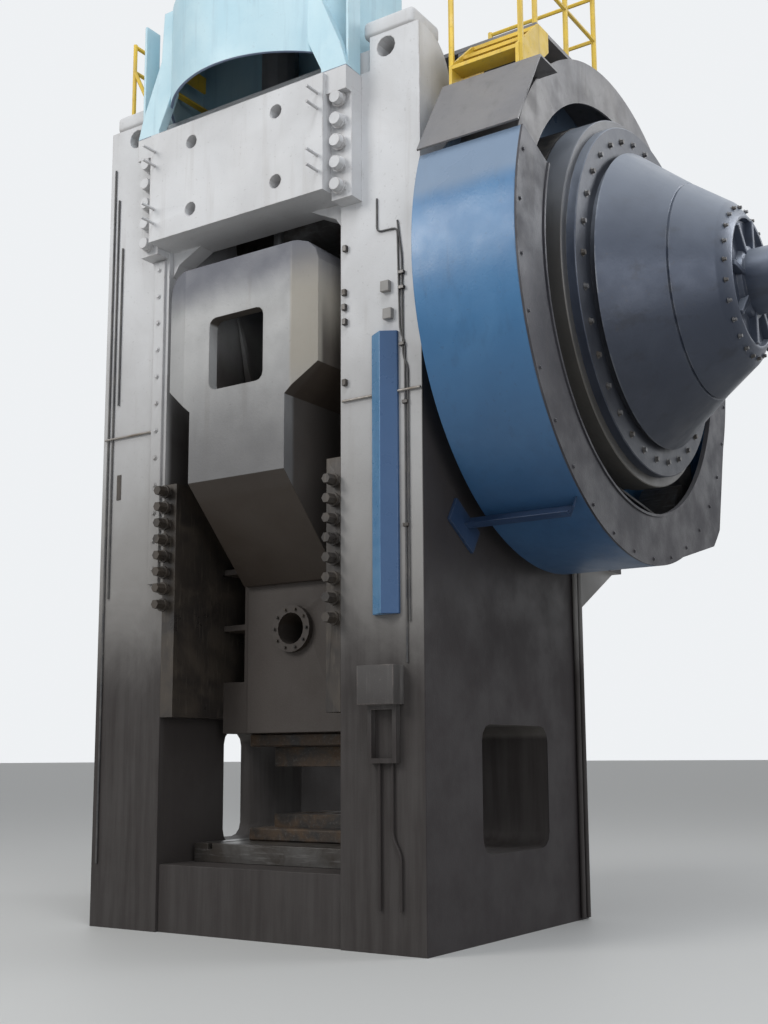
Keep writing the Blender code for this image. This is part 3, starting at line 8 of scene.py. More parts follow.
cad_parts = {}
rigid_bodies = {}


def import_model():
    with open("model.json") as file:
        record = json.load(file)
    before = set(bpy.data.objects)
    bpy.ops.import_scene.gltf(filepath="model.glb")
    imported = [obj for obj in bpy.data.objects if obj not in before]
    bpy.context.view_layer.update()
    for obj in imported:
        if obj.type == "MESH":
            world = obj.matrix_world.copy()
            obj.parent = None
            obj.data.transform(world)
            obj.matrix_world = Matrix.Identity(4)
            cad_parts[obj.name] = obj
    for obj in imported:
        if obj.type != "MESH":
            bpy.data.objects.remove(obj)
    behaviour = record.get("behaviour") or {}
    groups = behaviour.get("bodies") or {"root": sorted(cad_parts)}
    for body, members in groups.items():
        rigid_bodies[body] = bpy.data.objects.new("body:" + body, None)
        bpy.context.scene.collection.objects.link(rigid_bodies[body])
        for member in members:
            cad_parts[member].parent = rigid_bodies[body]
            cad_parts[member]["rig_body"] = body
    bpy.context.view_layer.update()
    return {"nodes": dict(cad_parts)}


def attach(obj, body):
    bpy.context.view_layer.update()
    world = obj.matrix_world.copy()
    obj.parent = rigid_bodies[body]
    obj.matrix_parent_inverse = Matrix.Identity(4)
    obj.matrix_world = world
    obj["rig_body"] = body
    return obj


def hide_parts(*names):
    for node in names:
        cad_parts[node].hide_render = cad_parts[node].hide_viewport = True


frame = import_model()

scene = bpy.context.scene
print("frame loaded:", len(frame["nodes"]), "nodes")

# node helpers, for the world, the finishes and the Geometry Nodes trees
def addNode(tree, kind, settings=None, values=None):
    node = tree.nodes.new(kind)
    for key, value in (settings or {}).items():
        setattr(node, key, value)
    for key, value in (values or {}).items():
        if hasattr(value, "is_output"):
            tree.links.new(value, node.inputs[key])
        else:
            node.inputs[key].default_value = value
    return node


def noise(tree, coords, scale, detail=4.0, rough=0.55, twist=0.0):
    return addNode(tree, "ShaderNodeTexNoise", None, {
        "Vector": coords, "Scale": scale, "Detail": detail, "Roughness": rough, "Distortion": twist,
    }).outputs["Fac"]


def stretch(tree, coords, scale):
    return addNode(tree, "ShaderNodeMapping", None, {"Vector": coords, "Scale": scale}).outputs[0]


def remap(tree, value, low, high, toLow=0.0, toHigh=1.0):
    node = addNode(tree, "ShaderNodeMapRange", {"interpolation_type": "SMOOTHSTEP"},
                   {"Value": value, "From Min": low, "From Max": high, "To Min": toLow, "To Max": toHigh})
    return node.outputs[0]


def calc(tree, operation, first, second=0.0):
    return addNode(tree, "ShaderNodeMath", {"operation": operation}, {0: first, 1: second}).outputs[0]


def partOf(tree, vector, axis):
    return addNode(tree, "ShaderNodeSeparateXYZ", None, {0: vector}).outputs[axis]


def scaled(tree, value, factor):
    return calc(tree, "MULTIPLY", value, factor)


def blendTints(tree, amount, first, second):
    node = tree.nodes.new("ShaderNodeMix")
    node.data_type = "RGBA"
    for index, value in ((0, amount), (6, first), (7, second)):
        if hasattr(value, "is_output"):
            tree.links.new(value, node.inputs[index])
        elif index:
            node.inputs[index].default_value = (*value, 1)
        else:
            node.inputs[index].default_value = value
    return node.outputs[2]


# the look of the whole picture: camera and lamps
view = {
    "eye": (7.53, -10.574, 1.60),
    "turnDeg": 33.61,
    "tiltDeg": 8.90,
    "rollDeg": -0.28,
    "lens": 44.54,
    "shiftUp": 0.0469,
    "farEnd": 900,
}
lamps = {
    "key": {
        "at": (-7.0, -15.0, 13.0), "aim": (1.0, 0.0, 5.5), "size": 7.0, "power": 1250,
        "tint": (1.0, 0.985, 0.96),
    },
    "roof": {
        "at": (5.0, -7.0, 17.0), "aim": (2.0, -1.0, 6.0), "size": 6.0, "power": 700,
        "tint": (0.93, 0.97, 1.0),
    },
    "fill": {
        "at": (13.0, -9.0, 6.0), "aim": (2.5, 0.0, 5.0), "size": 8.0, "power": 420,
        "tint": (0.95, 0.97, 1.0),
    },
    "back": {
        "at": (12.0, 8.0, 12.0), "aim": (3.0, 0.5, 6.0), "size": 6.0, "power": 600,
        "tint": (0.95, 0.97, 1.0),
    },
}
backdrop = {
    "floorTint": (0.60, 0.60, 0.59), "floorRough": 0.6, "floorSize": 600, "floorDrop": 0.0005,
    "skyTint": (0.86, 0.88, 0.90), "ambient": 0.36,
}


def setUpCamera():
    turn = math.radians(view["turnDeg"])
    tilt = math.radians(view["tiltDeg"])
    ahead = Vector((-math.sin(turn) * math.cos(tilt), math.cos(turn) * math.cos(tilt), math.sin(tilt)))
    data = bpy.data.cameras.new("photoView")
    data.lens = view["lens"]
    data.shift_y = view["shiftUp"]
    data.clip_end = view["farEnd"]
    camera = bpy.data.objects.new("photoView", data)
    scene.collection.objects.link(camera)
    camera.location = view["eye"]
    facing = ahead.to_track_quat("-Z", "Y")
    roll = Euler((0, 0, math.radians(view["rollDeg"]))).to_quaternion()
    camera.rotation_mode = "QUATERNION"
    camera.rotation_quaternion = facing @ roll
    scene.camera = camera


def setUpLamps():
    for name, lamp in lamps.items():
        data = bpy.data.lights.new(name, "AREA")
        data.shape = "SQUARE"
        data.size = lamp["size"]
        data.energy = lamp["power"]
        data.color = lamp["tint"]
        obj = bpy.data.objects.new(name, data)
        scene.collection.objects.link(obj)
        obj.location = lamp["at"]
        obj.rotation_euler = (Vector(lamp["aim"]) - Vector(lamp["at"])).to_track_quat("-Z", "Y").to_euler()
    world = bpy.data.worlds.new("paleRoom")
    scene.world = world
    world.use_nodes = True
    tree = world.node_tree
    tree.nodes.clear()
    # the press is lit by a dim room, and the camera, sheens and glass see a pale one
    rays = addNode(tree, "ShaderNodeLightPath").outputs
    clear = calc(tree, "MAXIMUM", rays["Is Glossy Ray"], rays["Is Transmission Ray"])
    seen = calc(tree, "MAXIMUM", rays["Is Camera Ray"], clear)
    sky = (*backdrop["skyTint"], 1)
    room, paper = (
        addNode(tree, "ShaderNodeBackground", None, {"Color": sky, "Strength": strength}).outputs[0]
        for strength in (backdrop["ambient"], 1)
    )
    both = addNode(tree, "ShaderNodeMixShader", None, {0: seen, 1: room, 2: paper}).outputs[0]
    addNode(tree, "ShaderNodeOutputWorld", None, {0: both})


scene.view_settings.view_transform = "Standard"
setUpCamera()
setUpLamps()
print("camera and lamps set")


def startFinish(name, roughness=0.5, metallic=0.0):
    material = bpy.data.materials.new(name)
    material.use_nodes = True
    tree = material.node_tree
    shader = tree.nodes["Principled BSDF"]
    shader.inputs["Roughness"].default_value = roughness
    shader.inputs["Metallic"].default_value = metallic
    coords = tree.nodes.new("ShaderNodeTexCoord").outputs["Object"]
    return material, tree, shader, coords


# where each layer of the paint begins and ends in its noise, and how its noises are stretched
wear = {
    "edgeAngle": (0.985, 0.86), "edgeBreak": (0.42, 0.6), "clouds": (0.38, 0.66), "streaks": (0.54, 0.72),
    "specks": (0.62, 0.70), "sootAndShadeStreaking": (0.3, 0.7), "undersideShade": (-0.25, -0.55), "dustAndSheenUp": 0.95,
    "dustAndSheenThin": (0.2, 0.6),
    "streakStretch": (5.0, 5.0, 0.35), "smokeStretch": (1.0, 1.0, 0.6), "smokeScale": 0.9, "smokeRag": 2.0,
    "patchRag": 1.5, "sheen": (0.3, 0.7), "sheenScale": 3.1, "sootDull": 0.15, "dullest": 0.95,
    "dentScale": 1.6,
}


def edgeMask(tree, width):
    # bright along worn edges: where a rounded normal leaves the true one
    soft = addNode(tree, "ShaderNodeBevel", {"samples": 3}, {"Radius": width}).outputs[0]
    true = tree.nodes.new("ShaderNodeNewGeometry").outputs["Normal"]
    same = addNode(tree, "ShaderNodeVectorMath", {"operation": "DOT_PRODUCT"}, {0: soft, 1: true})
    return remap(tree, same.outputs["Value"], *wear["edgeAngle"])


def patchMask(tree, coords, smoke, span):
    # a box with a soft and ragged edge, given as (axis, low, high, softness) for each axis that limits it
    mask = None
    for axis, low, high, soft in span:
        rag = scaled(tree, calc(tree, "SUBTRACT", smoke, 0.5), soft * wear["patchRag"])
        along = calc(tree, "ADD", partOf(tree, coords, axis), rag)
        pastLow = remap(tree, along, low - soft, low + soft)
        inside = scaled(tree, pastLow, remap(tree, along, high + soft, high - soft))
        mask = inside if mask is None else scaled(tree, mask, inside)
    return mask


def painted(name, look):
    # paint with clouds of wear, streaks, grime and worn edges, then painted shade darker towards the bottom
    # together with soot, patches, some of them painted shade, painted shade on faces that look down, and dust
    # together with a painted sheen on faces that look up
    material, tree, shader, coords = startFinish(name, metallic=look.get("metal", 0.0))
    shader.inputs["Specular IOR Level"].default_value = look.get("specular", 0.5)
    clouds = noise(tree, coords, look["cloudScale"], 5, 0.6, 0.4)
    tint = blendTints(tree, remap(tree, clouds, *wear["clouds"]), look["tint"], look["cloudTint"])
    streakSpace = stretch(tree, coords, look.get("streakStretch", wear["streakStretch"]))
    streaks = noise(tree, streakSpace, look["streakScale"], 4, 0.6)
    streakMask = scaled(tree, remap(tree, streaks, *wear["streaks"]), look["streakAmount"])
    tint = blendTints(tree, streakMask, tint, look["streakTint"])
    specks = noise(tree, coords, look["speckScale"], 3, 0.7)
    speckMask = scaled(tree, remap(tree, specks, *wear["specks"]), look["speckAmount"])
    tint = blendTints(tree, speckMask, tint, look["grimeTint"])
    broken = remap(tree, noise(tree, coords, 6, 4), *wear["edgeBreak"])
    worn = scaled(tree, edgeMask(tree, look["edgeWidth"]), broken)
    tint = blendTints(tree, scaled(tree, worn, look["edgeAmount"]), tint, look["edgeTint"])

    smoke = noise(tree, stretch(tree, coords, wear["smokeStretch"]), wear["smokeScale"], 6, 0.62, 0.6)
    rag = scaled(tree, calc(tree, "SUBTRACT", smoke, 0.5), look.get("sootAndShadeRag", wear["smokeRag"]))
    ragged = calc(tree, "ADD", partOf(tree, coords, "Z"), rag)
    # darker towards the bottom: painted shade together with soot
    if "lowShadeAndSootTint" in look:
        lowShadeAndSoot = scaled(tree, remap(tree, ragged, look["lowShadeAndSootTop"], look["lowShadeAndSootFull"]), look["lowShadeAndSootAmount"])
        tint = blendTints(tree, lowShadeAndSoot, tint, look["lowShadeAndSootTint"])
    # darkest near the bottom: soot together with painted shade, weaker where streaks run
    sootAndShadeStreaking = scaled(tree, remap(tree, streaks, *wear["sootAndShadeStreaking"], 1.0, 0.9), look["sootAndShadeAmount"])
    sootAndShade = scaled(tree, remap(tree, ragged, look["sootAndShadeTop"], look["sootAndShadeFull"]), sootAndShadeStreaking)
    tint = blendTints(tree, sootAndShade, tint, look["sootAndShadeTint"])
    # patches of other colour, several of them painted shade in recesses and on faces turned from the light
    for patch in look.get("patches", ()):
        mask = scaled(tree, patchMask(tree, coords, smoke, patch["span"]), patch["amount"])
        tint = blendTints(tree, mask, tint, patch["tint"])

    upward = partOf(tree, tree.nodes.new("ShaderNodeNewGeometry").outputs["Normal"], "Z")
    # painted shade on faces that look down
    if "undersideShadeTint" in look:
        undersideShade = scaled(tree, remap(tree, upward, *wear["undersideShade"]), look["undersideShadeAmount"])
        tint = blendTints(tree, undersideShade, tint, look["undersideShadeTint"])
    # lighter on faces that look up: dust together with a painted sheen
    if "dustAndSheenTint" in look:
        thin = remap(tree, smoke, *wear["dustAndSheenThin"], 0.7, 1.0)
        dustAndSheen = scaled(tree, remap(tree, upward, look["dustAndSheenFrom"], wear["dustAndSheenUp"]), thin)
        tint = blendTints(tree, scaled(tree, dustAndSheen, look["dustAndSheenAmount"]), tint, look["dustAndSheenTint"])
    tree.links.new(tint, shader.inputs["Base Color"])

    gloss = noise(tree, coords, look["cloudScale"] * wear["sheenScale"], 4)
    sheen = remap(tree, gloss, *wear["sheen"], *look["rough"])
    dull = calc(tree, "ADD", sheen, scaled(tree, sootAndShade, wear["sootDull"]))
    tree.links.new(calc(tree, "MINIMUM", dull, wear["dullest"]), shader.inputs["Roughness"])
    grain = scaled(tree, noise(tree, coords, look["grainScale"], 4, 0.6), look["grainDepth"])
    dents = scaled(tree, noise(tree, coords, wear["dentScale"], 2), look["dentDepth"])
    relief = calc(tree, "ADD", grain, dents)
    bump = addNode(tree, "ShaderNodeBump", None, {"Strength": 1.0, "Distance": 1.0, "Height": relief})
    tree.links.new(bump.outputs[0], shader.inputs["Normal"])
    return material


frameLook = {
    "tint": (0.64, 0.645, 0.66), "cloudTint": (0.56, 0.56, 0.57), "cloudScale": 0.7,
    "streakTint": (0.42, 0.40, 0.385), "streakScale": 1.7, "streakAmount": 0.24,
    "speckScale": 26, "speckAmount": 0.22, "grimeTint": (0.20, 0.185, 0.17),
    "edgeTint": (0.24, 0.20, 0.18), "edgeWidth": 0.022, "edgeAmount": 0.5,
    # the next two lines darken it towards the bottom: painted shade together with soot
    "lowShadeAndSootTint": (0.235, 0.225, 0.215), "lowShadeAndSootTop": 6.6, "lowShadeAndSootFull": 2.9, "lowShadeAndSootAmount": 0.97,
    "sootAndShadeTop": 3.45, "sootAndShadeFull": 2.25, "sootAndShadeAmount": 0.97, "sootAndShadeTint": (0.026, 0.021, 0.020), "sootAndShadeRag": 1.3,
    "specular": 0.3, "rough": (0.42, 0.62), "grainScale": 60, "grainDepth": 0.0012, "dentDepth": 0.006,
    "undersideShadeTint": (0.26, 0.24, 0.22), "undersideShadeAmount": 0.3,
    "patches": (
        # painted shade on the right column's side face
        {"span": (("X", 1.932, 9.0, 0.004), ("Z", -2.0, 5.75, 0.35)), "amount": 0.95,
         "tint": (0.024, 0.020, 0.021)},
        # painted shade in the recess between the columns, behind their fronts
        {"span": (("Y", -1.50, 9.0, 0.05), ("X", -1.08, 1.08, 0.01), ("Z", -2.0, 5.2, 0.5)), "amount": 0.9,
         "tint": (0.040, 0.034, 0.032)},
    ),
}
ramLook = {
    "tint": (0.42, 0.42, 0.42), "cloudTint": (0.33, 0.33, 0.33), "cloudScale": 0.9,
    "streakTint": (0.26, 0.24, 0.22), "streakScale": 1.9, "streakAmount": 0.35,
    "speckScale": 24, "speckAmount": 0.30, "grimeTint": (0.13, 0.11, 0.10),
    "edgeTint": (0.17, 0.15, 0.135), "edgeWidth": 0.02, "edgeAmount": 0.6,
    # the next two lines darken it towards the bottom: painted shade together with soot
    "lowShadeAndSootTint": (0.115, 0.113, 0.115), "lowShadeAndSootTop": 5.7, "lowShadeAndSootFull": 4.25, "lowShadeAndSootAmount": 0.92, "specular": 0.35,
    "sootAndShadeTop": 4.2, "sootAndShadeFull": 2.7, "sootAndShadeAmount": 0.9, "sootAndShadeTint": (0.035, 0.030, 0.027), "sootAndShadeRag": 0.8,
    "rough": (0.38, 0.60), "grainScale": 50, "grainDepth": 0.0015, "dentDepth": 0.008,
    "undersideShadeTint": (0.045, 0.034, 0.026), "undersideShadeAmount": 0.92,
    "patches": (
        # darker top of the ram under the crown: painted shade together with soot
        {"span": (("Z", 6.0, 7.5, 0.22),), "amount": 0.92, "tint": (0.105, 0.11, 0.135)},
        {"span": (("X", 0.64, 1.2, 0.02), ("Z", 4.95, 6.1, 0.3)), "amount": 0.75, "tint": (0.29, 0.26, 0.21)},
        # painted shade on the ram's faces behind its front, between the guides
        {"span": (("Y", -1.62, 2.0, 0.03), ("Z", 1.0, 5.6, 0.3)), "amount": 0.85,
         "tint": (0.060, 0.050, 0.044)},
    ),
}
guardLook = {
    "tint": (0.050, 0.165, 0.34), "cloudTint": (0.072, 0.205, 0.395), "cloudScale": 0.8,
    "streakTint": (0.035, 0.095, 0.19), "streakScale": 1.5, "streakAmount": 0.30,
    "speckScale": 22, "speckAmount": 0.22, "grimeTint": (0.04, 0.05, 0.07),
    "edgeTint": (0.03, 0.04, 0.055), "edgeWidth": 0.02, "edgeAmount": 0.6,
    # its darker blue towards the bottom is painted shade
    "sootAndShadeTop": 5.6, "sootAndShadeFull": 3.3, "sootAndShadeAmount": 0.72, "sootAndShadeTint": (0.017, 0.035, 0.085), "sootAndShadeRag": 1.0,
    "rough": (0.24, 0.38), "grainScale": 40, "grainDepth": 0.0008, "dentDepth": 0.010,
    "patches": (
        {"span": (("Z", 6.30, 9.0, 0.10), ("X", 2.0, 4.0, 0.05)), "amount": 0.78, "tint": (0.23, 0.29, 0.38)},
    ),
}
hoodLook = {
    "tint": (0.42, 0.62, 0.71), "cloudTint": (0.52, 0.70, 0.77), "cloudScale": 0.9,
    "streakTint": (0.33, 0.47, 0.55), "streakScale": 2.0, "streakAmount": 0.35,
    "speckScale": 20, "speckAmount": 0.12, "grimeTint": (0.20, 0.24, 0.27),
    "edgeTint": (0.32, 0.30, 0.29), "edgeWidth": 0.018, "edgeAmount": 0.5,
    "sootAndShadeTop": 7.9, "sootAndShadeFull": 7.4, "sootAndShadeAmount": 0.3, "sootAndShadeTint": (0.12, 0.14, 0.17), "sootAndShadeRag": 0.4,
    "rough": (0.40, 0.56), "grainScale": 40, "grainDepth": 0.0008, "dentDepth": 0.006,
    # the under colour is the painted shade inside the roof
    "undersideShadeTint": (0.16, 0.20, 0.31), "undersideShadeAmount": 0.95,
}
dustyLook = {
    "tint": (0.125, 0.122, 0.128), "cloudTint": (0.17, 0.162, 0.16), "cloudScale": 1.1,
    "streakTint": (0.075, 0.070, 0.068), "streakScale": 1.6, "streakAmount": 0.5,
    "speckScale": 22, "speckAmount": 0.35, "grimeTint": (0.050, 0.046, 0.045),
    "edgeTint": (0.27, 0.26, 0.26), "edgeWidth": 0.018, "edgeAmount": 0.4,
    "sootAndShadeTop": 6.4, "sootAndShadeFull": 3.6, "sootAndShadeAmount": 0.72, "sootAndShadeTint": (0.032, 0.028, 0.028), "sootAndShadeRag": 1.2,
    "rough": (0.34, 0.60), "grainScale": 45, "grainDepth": 0.0015, "dentDepth": 0.010, "metal": 0.15,
    # lighter on faces that look up: dust together with a painted sheen
    "dustAndSheenTint": (0.30, 0.295, 0.31), "dustAndSheenFrom": 0.1, "dustAndSheenAmount": 0.6,
}
armLook = dict(guardLook, tint=(0.022, 0.045, 0.095), cloudTint=(0.032, 0.060, 0.115), sootAndShadeAmount=0.5,
               patches=())
ringLook = dict(dustyLook, tint=(0.038, 0.038, 0.046), cloudTint=(0.058, 0.056, 0.064), streakAmount=0.3,
                edgeTint=(0.16, 0.16, 0.17), sootAndShadeTop=5.2, sootAndShadeFull=3.6, sootAndShadeAmount=0.3, specular=0.35)
wheelLook = {
    "tint": (0.052, 0.064, 0.094), "cloudTint": (0.070, 0.084, 0.118), "cloudScale": 1.3,
    "streakTint": (0.030, 0.032, 0.040), "streakScale": 2.2, "streakAmount": 0.45,
    "streakStretch": (0.5, 2.5, 2.5),
    "speckScale": 24, "speckAmount": 0.25, "grimeTint": (0.085, 0.075, 0.062),
    "edgeTint": (0.34, 0.35, 0.37), "edgeWidth": 0.02, "edgeAmount": 0.5,
    # the next line darkens it towards the bottom: painted shade together with soot
    "sootAndShadeTop": 6.0, "sootAndShadeFull": 4.4, "sootAndShadeAmount": 0.65, "sootAndShadeTint": (0.016, 0.017, 0.024), "sootAndShadeRag": 0.5,
    "rough": (0.28, 0.42), "grainScale": 40, "grainDepth": 0.0010, "dentDepth": 0.004, "metal": 0.35,
    # lighter on faces that look up: dust together with a painted sheen
    "dustAndSheenTint": (0.33, 0.365, 0.43), "dustAndSheenFrom": -0.12, "dustAndSheenAmount": 0.85,
    "patches": (
        {"span": (("X", 2.3, 3.152, 0.004),), "amount": 0.7, "tint": (0.120, 0.108, 0.088)},
        # painted shade in the groove at the foot of the cone
        {"span": (("X", 3.238, 3.30, 0.003),), "amount": 0.7, "tint": (0.02, 0.02, 0.023)},
    ),
}
railLook = {
    "tint": (0.74, 0.50, 0.045), "cloudTint": (0.66, 0.45, 0.06), "cloudScale": 3.0,
    "streakTint": (0.35, 0.24, 0.08), "streakScale": 3.0, "streakAmount": 0.3,
    "speckScale": 30, "speckAmount": 0.35, "grimeTint": (0.16, 0.12, 0.07),
    "edgeTint": (0.20, 0.17, 0.13), "edgeWidth": 0.006, "edgeAmount": 0.5,
    "sootAndShadeTop": -3.0, "sootAndShadeFull": -4.0, "sootAndShadeAmount": 0.0, "sootAndShadeTint": (0.03, 0.03, 0.03),
    "rough": (0.38, 0.58), "grainScale": 70, "grainDepth": 0.0004, "dentDepth": 0.001,
}
channelLook = dict(guardLook, tint=(0.085, 0.21, 0.38), cloudTint=(0.11, 0.25, 0.42), streakAmount=0.2,
                   sootAndShadeTop=3.6, sootAndShadeFull=2.0, sootAndShadeAmount=0.35, patches=(
                       {"span": (("X", 1.568, 1.9, 0.002),), "amount": 1.0, "tint": (0.036, 0.090, 0.20)},))
boxLook = dict(frameLook, tint=(0.085, 0.080, 0.078), cloudTint=(0.065, 0.060, 0.058), lowShadeAndSootAmount=0.0,
               sootAndShadeTop=2.6, sootAndShadeFull=1.6, patches=())
fittingLook = dict(frameLook, tint=(0.30, 0.29, 0.28), cloudTint=(0.24, 0.23, 0.22), patches=())


def machined(name, look):
    # bare or scaled metal: turned or ground lines under a film of oil
    material, tree, shader, coords = startFinish(name, metallic=look["metal"])
    stains = noise(tree, coords, look["stainScale"], 5, 0.6, 0.6)
    tint = blendTints(tree, remap(tree, stains, 0.35, 0.68), look["tint"], look["stainTint"])
    scratches = noise(tree, stretch(tree, coords, look["lineStretch"]), look["lineScale"], 3, 0.6)
    lineMask = scaled(tree, remap(tree, scratches, 0.52, 0.7), look["lineAmount"])
    tint = blendTints(tree, lineMask, tint, look["lineTint"])
    tree.links.new(tint, shader.inputs["Base Color"])
    tree.links.new(remap(tree, stains, 0.3, 0.7, *look["rough"]), shader.inputs["Roughness"])
    relief = scaled(tree, calc(tree, "ADD", scratches, stains), look["depth"])
    bump = addNode(tree, "ShaderNodeBump", None, {"Strength": 1.0, "Distance": 1.0, "Height": relief})
    tree.links.new(bump.outputs[0], shader.inputs["Normal"])
    return material


bareSteelLook = {
    "metal": 0.9, "tint": (0.40, 0.40, 0.41), "stainTint": (0.22, 0.20, 0.18), "stainScale": 3.0,
    "lineStretch": (1, 9, 9), "lineScale": 5, "lineAmount": 0.4, "lineTint": (0.55, 0.55, 0.56),
    "rough": (0.28, 0.5), "depth": 0.0012,
}
toolSteelLook = {
    "metal": 0.55, "tint": (0.045, 0.042, 0.040), "stainTint": (0.11, 0.075, 0.05), "stainScale": 4.0,
    "lineStretch": (6, 1, 6), "lineScale": 5, "lineAmount": 0.35, "lineTint": (0.16, 0.15, 0.14),
    "rough": (0.42, 0.72), "depth": 0.003,
}
gearIronLook = {
    "metal": 0.6, "tint": (0.13, 0.13, 0.135), "stainTint": (0.075, 0.065, 0.055), "stainScale": 3.0,
    "lineStretch": (1, 7, 7), "lineScale": 6, "lineAmount": 0.35, "lineTint": (0.26, 0.26, 0.27),
    "rough": (0.34, 0.6), "depth": 0.002,
}
greasyLook = {
    "metal": 0.2, "tint": (0.028, 0.024, 0.022), "stainTint": (0.055, 0.044, 0.034), "stainScale": 2.2,
    "lineStretch": (5, 5, 0.6), "lineScale": 7, "lineAmount": 0.5, "lineTint": (0.080, 0.068, 0.055),
    "rough": (0.25, 0.55), "depth": 0.0015,
}
scaleLook = dict(bareSteelLook, metal=0.6, tint=(0.10, 0.095, 0.09), stainTint=(0.05, 0.042, 0.036),
                 lineTint=(0.20, 0.19, 0.185))
cableLook = {
    "metal": 0.0, "tint": (0.035, 0.035, 0.038), "stainTint": (0.09, 0.085, 0.08), "stainScale": 6.0,
    "lineStretch": (1, 1, 8), "lineScale": 8, "lineAmount": 0.2, "lineTint": (0.14, 0.13, 0.12),
    "rough": (0.45, 0.65), "depth": 0.001,
}
pipeLook = {
    "metal": 0.5, "tint": (0.30, 0.28, 0.26), "stainTint": (0.16, 0.13, 0.10), "stainScale": 5.0,
    "lineStretch": (1, 8, 8), "lineScale": 6, "lineAmount": 0.3, "lineTint": (0.42, 0.40, 0.38),
    "rough": (0.35, 0.55), "depth": 0.001,
}

finish = {
    "frame": painted("framePaint", frameLook),
    "ram": painted("ramPaint", ramLook),
    "guard": painted("guardPaint", guardLook),
    "hood": painted("hoodPaint", hoodLook),
    "dusty": painted("dustySheet", dustyLook),
    "ring": painted("ringSheet", ringLook),
    "arm": painted("armPaint", armLook),
    "fitting": painted("fittingPaint", fittingLook),
    "wheel": painted("wheelPaint", wheelLook),
    "rail": painted("railPaint", railLook),
    "channel": painted("channelPaint", channelLook),
    "box": painted("boxPaint", boxLook),
    "bare": machined("bareSteel", bareSteelLook),
    "tool": machined("toolSteel", toolSteelLook),
    "scale": machined("scaledSteel", scaleLook),
    "gear": machined("gearIron", gearIronLook),
    "greasy": machined("greasyMetal", greasyLook),
    "cable": machined("cableRubber", cableLook),
    "pipe": machined("greasePipe", pipeLook),
}
print("finishes mixed:", len(finish))


# helpers that build and dress pieces
def place(name, mesh, material, body, slotName, nodes=()):
    mesh.materials.clear()
    mesh.materials.append(material)
    piece = bpy.data.objects.new(name, mesh)
    scene.collection.objects.link(piece)
    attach(piece, body)
    if nodes:
        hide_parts(*nodes)
    return piece


def smoothMesh(mesh, sharpDeg=32):
    mesh.shade_smooth()
    mesh.set_sharp_from_angle(angle=math.radians(sharpDeg))
    return mesh


def meshFrom(drawn, name):
    # the evaluated shape of a curve or of an object with a tree, which is then removed
    mesh = bpy.data.meshes.new_from_object(drawn.evaluated_get(bpy.context.evaluated_depsgraph_get()))
    bpy.data.objects.remove(drawn)
    mesh.name = name
    return mesh


def fromBmesh(name, shape):
    bmesh.ops.remove_doubles(shape, verts=shape.verts, dist=0.00005)
    bmesh.ops.recalc_face_normals(shape, faces=shape.faces)
    mesh = bpy.data.meshes.new(name)
    shape.to_mesh(mesh)
    shape.free()
    return smoothMesh(mesh)


def roundEdges(piece, width, segments=2, angleDeg=35):
    edges = piece.modifiers.new("worn edges", "BEVEL")
    edges.width = width
    edges.segments = segments
    edges.limit_method = "ANGLE"
    edges.angle_limit = math.radians(angleDeg)
    edges.harden_normals = True
    return piece


def dress(nodeName, material, slotName, edge=0.008):
    # a cleaned copy of the CAD node, with its edges rounded
    source = frame["nodes"][nodeName]
    shape = bmesh.new()
    shape.from_mesh(source.data)
    bmesh.ops.remove_doubles(shape, verts=shape.verts, dist=0.00002)
    bmesh.ops.dissolve_limit(shape, angle_limit=math.radians(0.4), verts=shape.verts, edges=shape.edges)
    mesh = bpy.data.meshes.new(nodeName + "Skin")
    shape.to_mesh(mesh)
    shape.free()
    piece = place(nodeName + "Skin", smoothMesh(mesh), material, source["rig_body"], slotName, (nodeName,))
    if edge:
        roundEdges(piece, edge)
    return piece


def coat(nodeName, material):
    # a CAD node whose shape is kept, with a better finish
    mesh = frame["nodes"][nodeName].data
    mesh.materials.clear()
    mesh.materials.append(material)


def arcPoints(centre, radius, startDeg, endDeg, steps):
    angles = [math.radians(startDeg + (endDeg - startDeg) * i / steps) for i in range(steps + 1)]
    return [(centre[0] + radius * math.cos(a), centre[1] + radius * math.sin(a)) for a in angles]


def slabMesh(name, outline, plane, low, high):
    # an outline as thick as high - low
    shape = bmesh.new()
    lay = {"YZ": lambda u, v, w: (w, u, v), "XZ": lambda u, v, w: (u, w, v)}[plane]
    bottom = [shape.verts.new(lay(u, v, low)) for u, v in outline]
    face = shape.faces.new(bottom)
    grown = bmesh.ops.extrude_face_region(shape, geom=[face])
    lifted = [v for v in grown["geom"] if isinstance(v, bmesh.types.BMVert)]
    bmesh.ops.translate(shape, verts=lifted, vec=Vector(lay(0, 0, high - low)) - Vector(lay(0, 0, 0)))
    return fromBmesh(name, shape)


def bandMesh(name, outside, inside, low, high):
    # the wall between two YZ outlines of equal count, from x low to high
    shape = bmesh.new()
    rows = []
    for (oy, oz), (iy, iz) in zip(outside, inside):
        corners = ((low, oy, oz), (high, oy, oz), (high, iy, iz), (low, iy, iz))
        rows.append([shape.verts.new(corner) for corner in corners])
    for first, second in zip(rows, rows[1:]):
        for i in range(4):
            shape.faces.new((first[i], first[(i + 1) % 4], second[(i + 1) % 4], second[i]))
    shape.faces.new(rows[0])
    shape.faces.new(rows[-1])
    return fromBmesh(name, shape)


def boxMesh(shape, low, high):
    made = bmesh.ops.create_cube(shape, size=1)
    bmesh.ops.scale(shape, vec=Vector(high) - Vector(low), verts=made["verts"])
    bmesh.ops.translate(shape, vec=(Vector(low) + Vector(high)) / 2, verts=made["verts"])
    return made["verts"]


def blocks(name, boxes, material, body, slotName, edge=0.006):
    shape = bmesh.new()
    for low, high in boxes:
        boxMesh(shape, low, high)
    piece = place(name, fromBmesh(name, shape), material, body, slotName)
    if edge:
        roundEdges(piece, edge)
    return piece


